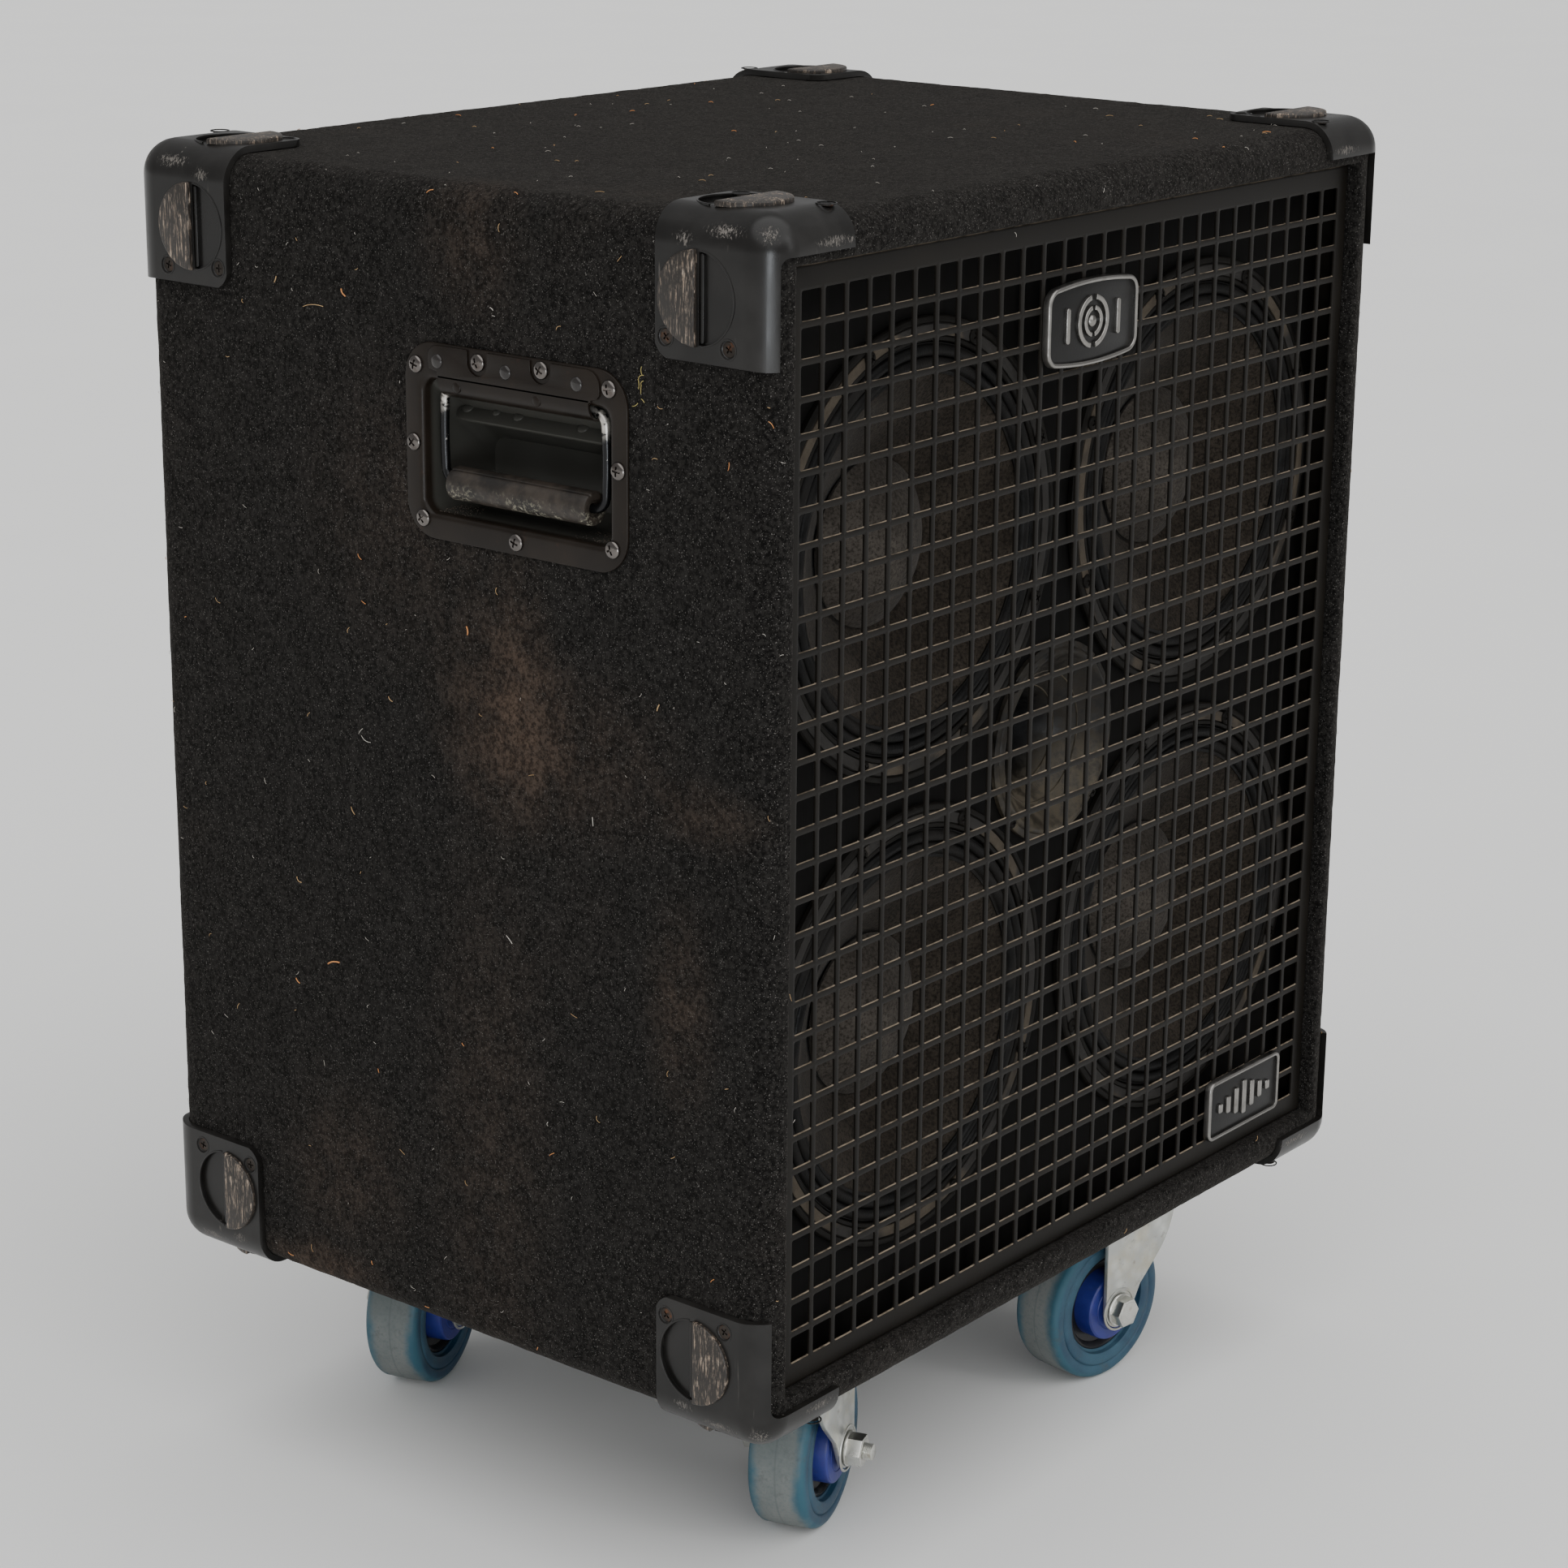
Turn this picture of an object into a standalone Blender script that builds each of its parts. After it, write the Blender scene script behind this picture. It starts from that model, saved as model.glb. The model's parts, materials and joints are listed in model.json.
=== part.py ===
"""A 4x10 bass-guitar speaker cabinet on four swivel castors.

Metres, +Z up, front towards -Y. The cabinet's own frame has its origin at the centre of the box;
the empty "cabinet" lifts that centre so that the castor wheels stand on Z = 0.
"""

import math

import bmesh
import bpy
from mathutils import Matrix, Vector

# Driving dimensions of the box
WIDTH = 0.584
DEPTH = 0.460
HEIGHT = 0.662
CASTOR_HEIGHT = 0.128
GAP = 0.0003
CARPET = 0.003
EDGE_RADIUS = 0.016
SIDE_BOARD = 0.0147
LEVEL_BOARD = 0.018
BAFFLE_BOARD = 0.018
REAR_BOARD = 0.015

# Grille: its face lies behind the front lip, and the baffle lies behind the grille
GRILLE_SIZE = (0.5436, 0.6144)
GRILLE_DEPTH = 0.008
GRILLE_BORDER = 0.0115
GRILLE_SHEET = 0.0015
GRILLE_RETURN = 0.0175
GRILLE_BAR = 0.0036
GRILLE_WINDOWS = (7, 8)
BAFFLE_DEPTH = GRILLE_DEPTH + 0.020

# Corner protectors
CORNER_WALL = 0.004
CORNER_REACH_X = 0.061
CORNER_REACH_Y = 0.074
CORNER_REACH_Z = 0.074
CORNER_ROUND = 0.012
CORNER_LIP = 0.005
DISC_RADIUS = 0.0245
DISC_FROM_LIP = 0.046
DISC_FROM_TOP = 0.041
DISC_FROM_SIDE = 0.034
DISC_RAISED = 0.0026
DISC_SUNK = 0.0028

# Carrying handles
HANDLE_FROM_LIP = 0.173
HANDLE_FROM_BOTTOM = 0.5235
HANDLE_PLATE = (0.158, 0.107)
HANDLE_SHEET = 0.0015
HANDLE_OPENING = (0.133, 0.073)
HANDLE_OPENING_DROP = 0.003
HANDLE_POCKET_FLOOR = (0.116, 0.050)
HANDLE_POCKET_DEPTH = 0.048
BAIL_AXIS = (-0.0065, 0.0295)
BAIL_REACH = 0.052
BAIL_WIRE = 0.0025
BAIL_HALF = 0.0575
GRIP_RADIUS = 0.0096
GRIP_LENGTH = 0.100

# Loudspeakers and horn
DRIVER_X = 0.137
DRIVER_Z = 0.136
RIM_RADIUS = 0.1275
RIM_HEIGHT = 0.005
DRIVER_HOLE = 0.115
HORN_HOLE = 0.056
DRIVER_SIDES = 16

# Castors: kingpin from the box centre (x, y) and the direction in which the wheel trails
TRAIL = 0.037
WHEEL_RADIUS = 0.050
TYRE_HALF = 0.018
FORK_INNER = 0.0245
FORK_SHEET = 0.0028
MOUNT_PLATE = (0.084, 0.100, 0.003)
CASTORS = {
    "castor_front_left": (-0.181, -0.154, 18.7),
    "castor_front_right": (0.165, -0.161, 172.7),
    "castor_rear_left": (-0.185, 0.153, 18.7),
    "castor_rear_right": (0.170, 0.153, 150.0),
}

# Rear socket dish
DISH_FLANGE = (0.160, 0.110)
DISH_OPENING = (0.140, 0.090)
DISH_DEPTH = 0.024
DISH_FROM_BOTTOM = 0.440
JACK_X = (-0.048, -0.018)
JACK_BORE = 0.00325
KNOB_X = 0.036

TO_FRONT = Matrix.Rotation(math.pi / 2, 4, "X")
TO_REAR = Matrix.Rotation(-math.pi / 2, 4, "X")


# ---------------------------------------------------------------- helpers

def clear_scene():
    for old in list(bpy.data.objects):
        bpy.data.objects.remove(old)


def material(name, colour, roughness, metallic=0.0):
    made = bpy.data.materials.new(name)
    made.use_nodes = True
    shader = made.node_tree.nodes["Principled BSDF"]
    shader.inputs["Base Color"].default_value = (*colour, 1.0)
    shader.inputs["Roughness"].default_value = roughness
    shader.inputs["Metallic"].default_value = metallic
    return made


def empty(name, parent=None, location=(0, 0, 0), rotation=(0, 0, 0)):
    made = bpy.data.objects.new(name, None)
    made.empty_display_size = 0.03
    made.parent = parent
    made.location = location
    made.rotation_euler = rotation
    bpy.context.scene.collection.objects.link(made)
    return made


def solid(bm, name="tool"):
    """An object that holds this bmesh, with its faces pointing out."""
    bmesh.ops.remove_doubles(bm, verts=bm.verts, dist=1e-7)
    bmesh.ops.recalc_face_normals(bm, faces=bm.faces)
    mesh = bpy.data.meshes.new(name)
    bm.to_mesh(mesh)
    bm.free()
    made = bpy.data.objects.new(name, mesh)
    bpy.context.scene.collection.objects.link(made)
    return made


def combine(body, bm, operation):
    """Joins (UNION), cuts (DIFFERENCE) or trims (INTERSECT) the body with the shape in the bmesh."""
    tool = solid(bm)
    step = body.modifiers.new("step", "BOOLEAN")
    step.operation = operation
    step.object = tool
    bpy.context.view_layer.update()
    graph = bpy.context.evaluated_depsgraph_get()
    result = bpy.data.meshes.new_from_object(body.evaluated_get(graph))
    body.modifiers.clear()
    body.data = result
    bpy.data.objects.remove(tool)
    return body


def finish(body, name, finish_material, parent):
    """Names the body and its mesh, gives it its material and its parent, and shades it."""
    body.name = name
    body.data.name = name
    body.data.materials.clear()
    body.data.materials.append(finish_material)
    body.data.shade_smooth()
    body.data.set_sharp_from_angle(angle=math.radians(35))
    body.parent = parent
    return body


def copy_of(body, name, parent):
    made = bpy.data.objects.new(name, body.data)
    bpy.context.scene.collection.objects.link(made)
    made.parent = parent
    return made


def mirrored_copy(body, name, parent):
    """The same solid on the other side of the X = 0 plane of its parent."""
    made = copy_of(body, name, parent)
    made.data = body.data.copy()
    made.data.name = name
    made.data.transform(Matrix.Scale(-1, 4, (1, 0, 0)))
    made.data.flip_normals()
    return made


def box(low, high):
    bm = bmesh.new()
    bmesh.ops.create_cube(bm, size=1.0)
    low, high = Vector(low), Vector(high)
    bmesh.ops.scale(bm, vec=high - low, verts=bm.verts)
    bmesh.ops.translate(bm, vec=(low + high) / 2, verts=bm.verts)
    return bm


def rounded_box(size, radius, segments):
    bm = box([-side / 2 for side in size], [side / 2 for side in size])
    bmesh.ops.bevel(
        bm, geom=bm.edges[:], offset=radius, segments=segments, profile=0.5, affect="EDGES"
    )
    return bm


def rounded_rectangle(width, height, radius, centre=(0, 0), steps=3):
    """Outline points, anticlockwise, with an arc of this many steps at each corner."""
    points = []
    for quarter, (side_u, side_v) in enumerate([(1, 1), (-1, 1), (-1, -1), (1, -1)]):
        arc_u = centre[0] + side_u * (width / 2 - radius)
        arc_v = centre[1] + side_v * (height / 2 - radius)
        for step in range(steps + 1):
            angle = math.pi / 2 * (quarter + step / steps)
            points.append((arc_u + radius * math.cos(angle), arc_v + radius * math.sin(angle)))
    return points


def circle(radius, segments, centre=(0, 0)):
    turns = [2 * math.pi * (step + 0.5) / segments for step in range(segments)]
    return [(centre[0] + radius * math.cos(a), centre[1] + radius * math.sin(a)) for a in turns]


def half_disc(radius, direction, centre, steps=8):
    """A half disc in the (u, v) plane whose round side faces +u (direction 1) or -u (direction -1)."""
    points = []
    for step in range(steps + 1):
        angle = math.pi * (step / steps - 0.5)
        u = centre[0] + direction * radius * math.cos(angle)
        points.append((u, centre[1] + radius * math.sin(angle)))
    return points


def at(axis, u, v, along):
    """The point at (u, v) in the plane across the axis, and this far along the axis."""
    return {"X": (along, u, v), "Y": (u, along, v), "Z": (u, v, along)}[axis]


def loft(rings):
    """A closed solid through rings of equal point counts, with flat ends."""
    bm = bmesh.new()
    loops = [[bm.verts.new(point) for point in ring] for ring in rings]
    count = len(loops[0])
    for first, second in zip(loops, loops[1:]):
        for i in range(count):
            j = (i + 1) % count
            bm.faces.new((first[i], first[j], second[j], second[i]))
    bm.faces.new(loops[0][::-1])
    bm.faces.new(loops[-1])
    return bm


def prism(outline, axis, start, end):
    return loft([[at(axis, u, v, along) for u, v in outline] for along in (start, end)])


def turned(profile, segments, matrix=None):
    """A solid of revolution about +Z from a closed profile of (radius, height) points."""
    bm = bmesh.new()
    verts = [bm.verts.new((radius, 0, height)) for radius, height in profile]
    edges = [bm.edges.new((a, b)) for a, b in zip(verts, verts[1:] + verts[:1])]
    half_step = Matrix.Rotation(math.pi / segments, 4, "Z")
    bmesh.ops.transform(bm, matrix=half_step, verts=bm.verts)
    bmesh.ops.spin(
        bm, geom=verts + edges, cent=(0, 0, 0), axis=(0, 0, 1), angle=2 * math.pi,
        steps=segments, use_merge=True, use_duplicate=False,
    )
    bmesh.ops.remove_doubles(bm, verts=bm.verts, dist=1e-6)
    bmesh.ops.dissolve_degenerate(bm, dist=1e-7, edges=bm.edges)
    on_axis = [e for e in bm.edges if not e.link_faces]
    bmesh.ops.delete(bm, geom=on_axis, context="EDGES")
    if matrix:
        bmesh.ops.transform(bm, matrix=matrix, verts=bm.verts)
    return bm


# ---------------------------------------------------------------- box and skin

def wood_block():
    """The outside of the joined boards, just inside the carpet."""
    inset = 2 * (CARPET + GAP)
    size = (WIDTH - inset, DEPTH - inset, HEIGHT - inset)
    return rounded_box(size, EDGE_RADIUS - CARPET - GAP, 3)


def board(name, low, high, wood, cabinet, cuts=()):
    body = combine(solid(box(low, high)), wood_block(), "INTERSECT")
    for cut in cuts:
        combine(body, cut, "DIFFERENCE")
    return finish(body, name, wood, cabinet)


def handle_centre():
    """(y, z) of the handle plate's centre on the side of the cabinet."""
    return (HANDLE_FROM_LIP - DEPTH / 2, HANDLE_FROM_BOTTOM - HEIGHT / 2)


def handle_cut(side):
    y, z = handle_centre()
    spare = 2 * (HANDLE_SHEET + GAP) + 0.001
    outline = rounded_rectangle(
        HANDLE_OPENING[0] + spare, HANDLE_OPENING[1] + spare, 0.010, (y, z - HANDLE_OPENING_DROP)
    )
    return prism(outline, "X", *sorted((side * 0.2, side * 0.4)))


def dish_cut(start, end):
    outline = rounded_rectangle(
        DISH_OPENING[0] + 0.005, DISH_OPENING[1] + 0.005, 0.010,
        (0, DISH_FROM_BOTTOM - HEIGHT / 2),
    )
    return prism(outline, "Y", start, end)


def make_boards(cabinet, wood):
    x = WIDTH / 2 - CARPET - GAP
    inner_x = x - SIDE_BOARD
    z = HEIGHT / 2 - CARPET - GAP
    inner_z = z - LEVEL_BOARD
    y = DEPTH / 2 - CARPET - GAP
    for side, name in ((-1, "side_panel_left"), (1, "side_panel_right")):
        low_x, high_x = sorted((side * inner_x, side * (x + 0.01)))
        board(name, (low_x, -DEPTH, -HEIGHT), (high_x, DEPTH, HEIGHT), wood, cabinet, [handle_cut(side)])
    for side, name in ((1, "top_panel"), (-1, "bottom_panel")):
        low_z, high_z = sorted((side * inner_z, side * (z + 0.01)))
        board(name, (GAP - inner_x, -DEPTH, low_z), (inner_x - GAP, DEPTH, high_z), wood, cabinet)

    rear_low = (GAP - inner_x, y - REAR_BOARD, GAP - inner_z)
    rear_high = (inner_x - GAP, DEPTH, inner_z - GAP)
    board("rear_panel", rear_low, rear_high, wood, cabinet, [dish_cut(0.1, 0.3)])

    face_y = BAFFLE_DEPTH - DEPTH / 2
    holes = [
        prism(circle(DRIVER_HOLE, 20, (dx, dz)), "Y", -DEPTH, 0)
        for dx in (-DRIVER_X, DRIVER_X) for dz in (-DRIVER_Z, DRIVER_Z)
    ]
    holes.append(prism(circle(HORN_HOLE, 16), "Y", -DEPTH, 0))
    baffle_low = (GAP - inner_x, face_y, GAP - inner_z)
    baffle_high = (inner_x - GAP, face_y + BAFFLE_BOARD, inner_z - GAP)
    board("baffle_board", baffle_low, baffle_high, wood, cabinet, holes)


def make_carpet(cabinet, carpet):
    """The carpet over all six sides, turned in over the front lip as far as the baffle."""
    body = solid(rounded_box((WIDTH, DEPTH, HEIGHT), EDGE_RADIUS, 3))
    inset = 2 * CARPET
    hollow = rounded_box(
        (WIDTH - inset, DEPTH - inset, HEIGHT - inset), EDGE_RADIUS - CARPET, 3
    )
    combine(body, hollow, "DIFFERENCE")
    mouth = [side + 2 * GAP for side in GRILLE_SIZE]
    lining_x = WIDTH / 2 - CARPET - SIDE_BOARD - 2 * GAP
    lining_z = HEIGHT / 2 - CARPET - LEVEL_BOARD - 2 * GAP
    front = -DEPTH / 2
    lining_end = front + BAFFLE_DEPTH - GAP
    lining = box((-lining_x, front, -lining_z), (lining_x, lining_end, lining_z))
    combine(body, lining, "UNION")
    opening = box(
        (-mouth[0] / 2, front - 0.01, -mouth[1] / 2), (mouth[0] / 2, lining_end + 0.01, mouth[1] / 2)
    )
    combine(body, opening, "DIFFERENCE")
    for side in (-1, 1):
        combine(body, handle_cut(side), "DIFFERENCE")
    combine(body, dish_cut(0.1, 0.3), "DIFFERENCE")
    finish(body, "carpet_cover", carpet, cabinet)


# ---------------------------------------------------------------- grille and badges

def make_grille(cabinet, steel):
    """Face sheet with turned-back edges. Its windows are coarser than the real lattice."""
    face = GRILLE_DEPTH - DEPTH / 2
    half_x, half_z = GRILLE_SIZE[0] / 2, GRILLE_SIZE[1] / 2
    body = solid(box((-half_x, face, -half_z), (half_x, face + GRILLE_RETURN, half_z)))
    inner_x, inner_z = half_x - GRILLE_SHEET, half_z - GRILLE_SHEET
    hollow = box((-inner_x, face + GRILLE_SHEET, -inner_z), (inner_x, face + 0.05, inner_z))
    combine(body, hollow, "DIFFERENCE")
    columns, rows = GRILLE_WINDOWS
    pitch_x = (GRILLE_SIZE[0] - 2 * GRILLE_BORDER + GRILLE_BAR) / columns
    pitch_z = (GRILLE_SIZE[1] - 2 * GRILLE_BORDER + GRILLE_BAR) / rows
    windows = bmesh.new()
    for column in range(columns):
        for row in range(rows):
            x = (column - (columns - 1) / 2) * pitch_x
            z = (row - (rows - 1) / 2) * pitch_z
            window = Matrix.Translation((x, face, z)) @ Matrix.Diagonal(
                (pitch_x - GRILLE_BAR, 0.01, pitch_z - GRILLE_BAR, 1)
            )
            bmesh.ops.create_cube(windows, size=1.0, matrix=window)
    combine(body, windows, "DIFFERENCE")
    finish(body, "grille", steel, cabinet)


def make_badges(cabinet, silver):
    face = GRILLE_DEPTH - DEPTH / 2 - GAP
    for name, width, height, x, from_bottom in (
        ("badge_top", 0.088, 0.049, -0.005, 0.5775),
        ("badge_corner", 0.083, 0.040, 0.195, 0.057),
    ):
        centre = (x, from_bottom - HEIGHT / 2)
        outline = rounded_rectangle(width, height, 0.008, centre)
        finish(solid(prism(outline, "Y", face - 0.0045, face)), name, silver, cabinet)


# ---------------------------------------------------------------- corner protectors

def reach(side, edge, length):
    """The stretch from well outside this edge of the box to a length inside it."""
    return sorted((side * (edge + 0.012), side * (edge - length)))


def rectangle(stretch_u, stretch_v, radius):
    width = stretch_u[1] - stretch_u[0]
    height = stretch_v[1] - stretch_v[0]
    return rounded_rectangle(width, height, radius, (sum(stretch_u) / 2, sum(stretch_v) / 2), 2)


def corner_body(front, top):
    """The left protector at the front (front = -1) or rear (1), and at the top (1) or bottom (-1)."""
    wall = 2 * CORNER_WALL
    body = solid(rounded_box((WIDTH + wall, DEPTH + wall, HEIGHT + wall), EDGE_RADIUS + CORNER_WALL, 2))
    gap = 2 * GAP
    combine(body, rounded_box((WIDTH + gap, DEPTH + gap, HEIGHT + gap), EDGE_RADIUS + GAP, 3), "DIFFERENCE")
    along_x = reach(-1, WIDTH / 2, CORNER_REACH_X)
    along_y = reach(front, DEPTH / 2, CORNER_REACH_Y)
    along_z = reach(top, HEIGHT / 2, CORNER_REACH_Z)
    for outline, axis in (
        (rectangle(along_y, along_z, CORNER_ROUND), "X"),
        (rectangle(along_x, along_z, CORNER_ROUND), "Y"),
        (rectangle(along_x, along_y, CORNER_ROUND), "Z"),
    ):
        combine(body, prism(outline, axis, -0.5, 0.5), "INTERSECT")
    if front < 0:
        lip_x = CORNER_LIP - WIDTH / 2
        clear_z = sorted((0, top * (GRILLE_SIZE[1] / 2 + 0.001)))
        lip = rectangle((lip_x, 0.1), clear_z, 0.004)
        combine(body, prism(lip, "Y", -0.3, 0.01 - DEPTH / 2), "DIFFERENCE")

    disc_y = front * (DEPTH / 2 - DISC_FROM_LIP)
    side_centre = (disc_y, top * (HEIGHT / 2 - DISC_FROM_TOP))
    outer = WIDTH / 2 + CORNER_WALL
    pad = prism(half_disc(DISC_RADIUS, top, side_centre), "X", -outer - DISC_RAISED, 0.002 - outer)
    combine(body, pad, "UNION")
    sunk_centre = (side_centre[0] - top * 0.002, side_centre[1])
    pocket = prism(half_disc(DISC_RADIUS - 0.001, -top, sunk_centre), "X", -outer - 0.01, DISC_SUNK - outer)
    combine(body, pocket, "DIFFERENCE")

    level = HEIGHT / 2 + CORNER_WALL
    across_x = DISC_FROM_SIDE - WIDTH / 2
    pad_outline = [(across_x + b, disc_y + a) for a, b in half_disc(DISC_RADIUS, -top, (0, 0))]
    pad = prism(pad_outline, "Z", *sorted((top * (level - 0.002), top * (level + DISC_RAISED))))
    combine(body, pad, "UNION")
    sunk_outline = [
        (across_x + b, disc_y + top * 0.002 + a) for a, b in half_disc(DISC_RADIUS - 0.001, top, (0, 0))
    ]
    pocket = prism(sunk_outline, "Z", *sorted((top * (level - DISC_SUNK), top * (level + 0.01))))
    return combine(body, pocket, "DIFFERENCE")


def make_corners(cabinet, plastic):
    for front, front_name in ((-1, "front"), (1, "rear")):
        for top, top_name in ((1, "top"), (-1, "bottom")):
            name = f"corner_{front_name}_{top_name}"
            left = finish(corner_body(front, top), f"{name}_left", plastic, cabinet)
            mirrored_copy(left, f"{name}_right", cabinet)


# ---------------------------------------------------------------- handles

def handle_dish():
    """Face plate, pocket and the rolled barrel that holds the bail, for the left side.

    The frame's origin is the plate's centre on the carpet, and the outside is towards -X.
    """
    outside = -HANDLE_SHEET - GAP
    body = solid(prism(rounded_rectangle(*HANDLE_PLATE, 0.020, steps=4), "X", outside, -GAP))
    drop = (0, -HANDLE_OPENING_DROP)
    wall = 2 * HANDLE_SHEET

    def ring(width, height, x):
        return [(x, u, v) for u, v in rounded_rectangle(width, height, 0.008, drop, 3)]

    mouth, floor = HANDLE_OPENING, HANDLE_POCKET_FLOOR
    depth = HANDLE_POCKET_DEPTH
    pocket = loft([
        ring(mouth[0] + wall, mouth[1] + wall, -GAP - 0.0005),
        ring(mouth[0] + wall, mouth[1] + wall, 0.006),
        ring(floor[0] + wall, floor[1] + wall, depth),
    ])
    combine(body, pocket, "UNION")
    hollow = loft([
        ring(mouth[0], mouth[1], outside - 0.01),
        ring(mouth[0], mouth[1], 0.006),
        ring(floor[0], floor[1], depth - HANDLE_SHEET),
    ])
    combine(body, hollow, "DIFFERENCE")
    axis_x, axis_z = -BAIL_AXIS[0], BAIL_AXIS[1]
    barrel_half = BAIL_HALF - 0.010
    combine(body, prism(circle(0.0052, 10, (axis_x, axis_z)), "Y", -barrel_half, barrel_half), "UNION")
    for side in (-1, 1):
        ends = sorted((side * (barrel_half - 0.014), side * (barrel_half + 0.01)))
        bore = prism(circle(BAIL_WIRE + 0.0006, 10, (axis_x, axis_z)), "Y", *ends)
        combine(body, bore, "DIFFERENCE")
    return body


def bail_path():
    """Half of the bail from its stub in the barrel to the middle of the grip, then mirrored."""
    bend = 0.008
    half = [(BAIL_HALF - 0.020, 0.0), (BAIL_HALF - bend, 0.0)]
    for step in range(1, 4):
        angle = math.pi / 2 * step / 3
        half.append((BAIL_HALF - bend + bend * math.sin(angle), bend * (math.cos(angle) - 1)))
    for step in range(4):
        angle = math.pi / 2 * step / 3
        half.append(
            (BAIL_HALF - bend + bend * math.cos(angle), bend - BAIL_REACH - bend * math.sin(angle))
        )
    return half + [(-y, z) for y, z in reversed(half)]


def make_bail(name, parent, steel):
    path = bpy.data.curves.new(name, "CURVE")
    path.dimensions = "3D"
    path.bevel_depth = BAIL_WIRE
    path.bevel_resolution = 2
    path.use_fill_caps = True
    spline = path.splines.new("POLY")
    points = bail_path()
    spline.points.add(len(points) - 1)
    for point, (y, z) in zip(spline.points, points):
        point.co = (0, y, z, 1)
    path.materials.append(steel)
    wire = bpy.data.objects.new(name, path)
    bpy.context.scene.collection.objects.link(wire)
    wire.parent = parent


def make_handles(cabinet, black_steel, worn_steel, grip_rubber):
    y, z = handle_centre()
    left_dish = finish(handle_dish(), "handle_dish_left", black_steel, None)
    bore = BAIL_WIRE + 0.0005
    grip_profile = [
        (bore, -GRIP_LENGTH / 2), (GRIP_RADIUS - 0.001, -GRIP_LENGTH / 2),
        (GRIP_RADIUS, 0.001 - GRIP_LENGTH / 2), (GRIP_RADIUS, GRIP_LENGTH / 2 - 0.001),
        (GRIP_RADIUS - 0.001, GRIP_LENGTH / 2), (bore, GRIP_LENGTH / 2),
    ]
    for side, word in ((-1, "left"), (1, "right")):
        place = empty(f"handle_{word}", cabinet, (side * WIDTH / 2, y, z))
        if side < 0:
            left_dish.parent = place
        else:
            mirrored_copy(left_dish, "handle_dish_right", place)
        axis_place = (side * BAIL_AXIS[0], 0, BAIL_AXIS[1])
        pivot = empty(f"handle_bail_{word}_axis", place, axis_place)
        make_bail(f"handle_bail_{word}", pivot, worn_steel)
        grip = solid(turned(grip_profile, 14, TO_FRONT))
        bpy.context.view_layer.update()
        grip.data.transform(Matrix.Translation((0, 0, -BAIL_REACH)))
        finish(grip, f"handle_grip_{word}", grip_rubber, pivot)


# ---------------------------------------------------------------- loudspeakers and horn

def basket_body():
    """Stamped frame, motor and pole piece in one solid of revolution, with four windows.

    The frame's origin is the centre of the rim on the baffle face, and +Z points out of the front.
    """
    profile = [
        (RIM_RADIUS, RIM_HEIGHT), (0.1132, RIM_HEIGHT), (0.1132, 0.0005), (0.1015, -0.008),
        (0.064, -0.068), (0.0207, -0.068), (0.0207, -0.096), (0.0173, -0.096),
        (0.0173, -0.066), (0.0, -0.066), (0.0, -0.116), (0.071, -0.116),
        (0.069, -0.071), (0.1040, -0.011), (0.1130, GAP), (RIM_RADIUS, GAP),
    ]
    body = solid(turned(profile, DRIVER_SIDES))
    cuts = bmesh.new()
    for quarter in range(4):
        turn = Matrix.Rotation(math.pi / 2 * quarter + math.pi / 4, 4, "Z")
        window = turn @ Matrix.Translation((0.085, 0, -0.040)) @ Matrix.Diagonal((0.05, 0.070, 0.030, 1))
        bmesh.ops.create_cube(cuts, size=1.0, matrix=window)
    return combine(body, cuts, "DIFFERENCE")


def make_drivers(cabinet, frame_steel, paper, edge_foam):
    basket = finish(basket_body(), "driver_basket", frame_steel, None)
    cone_profile = [
        (0.0, -0.008), (0.022, -0.012), (0.0455, -0.0275), (0.0972, 0.0015), (0.0972, -0.0005),
        (0.0196, -0.050), (0.0196, -0.084), (0.0180, -0.084), (0.0180, -0.048),
        (0.0425, -0.0295), (0.022, -0.0138), (0.0, -0.0098),
    ]
    cone = finish(solid(turned(cone_profile, DRIVER_SIDES)), "driver_cone", paper, None)
    surround_profile = [
        (0.0978, 0.0018), (0.1010, 0.0050), (0.1052, 0.0036), (0.1094, 0.0050), (0.1127, 0.0018),
        (0.1052, 0.0014),
    ]
    surround = finish(solid(turned(surround_profile, DRIVER_SIDES)), "driver_surround", edge_foam, None)
    patterns = {"basket": basket, "cone": cone, "surround": surround}
    for top, top_word in ((1, "top"), (-1, "bottom")):
        for side, word in ((-1, "left"), (1, "right")):
            centre = (side * DRIVER_X, BAFFLE_DEPTH - DEPTH / 2, top * DRIVER_Z)
            place = empty(f"driver_{top_word}_{word}", cabinet, centre, (math.pi / 2, 0, 0))
            for kind, pattern in patterns.items():
                copy_of(pattern, f"driver_{kind}_{top_word}_{word}", place)
    for pattern in patterns.values():
        bpy.data.objects.remove(pattern)


def make_horn(cabinet, plastic):
    profile = [
        (0.0, -0.060), (0.0125, -0.060), (0.020, -0.036), (0.034, -0.012), (0.049, 0.003),
        (0.0525, 0.006), (0.055, 0.0033), (0.059, 0.0033), (0.059, GAP), (0.053, GAP),
        (0.037, -0.018), (0.023, -0.040), (0.019, -0.064), (0.037, -0.067), (0.037, -0.105),
        (0.0, -0.105),
    ]
    place = empty("horn_place", cabinet, (0, BAFFLE_DEPTH - DEPTH / 2, 0), (math.pi / 2, 0, 0))
    finish(solid(turned(profile, DRIVER_SIDES)), "horn", plastic, place)


# ---------------------------------------------------------------- rear sockets and crossover

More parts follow.
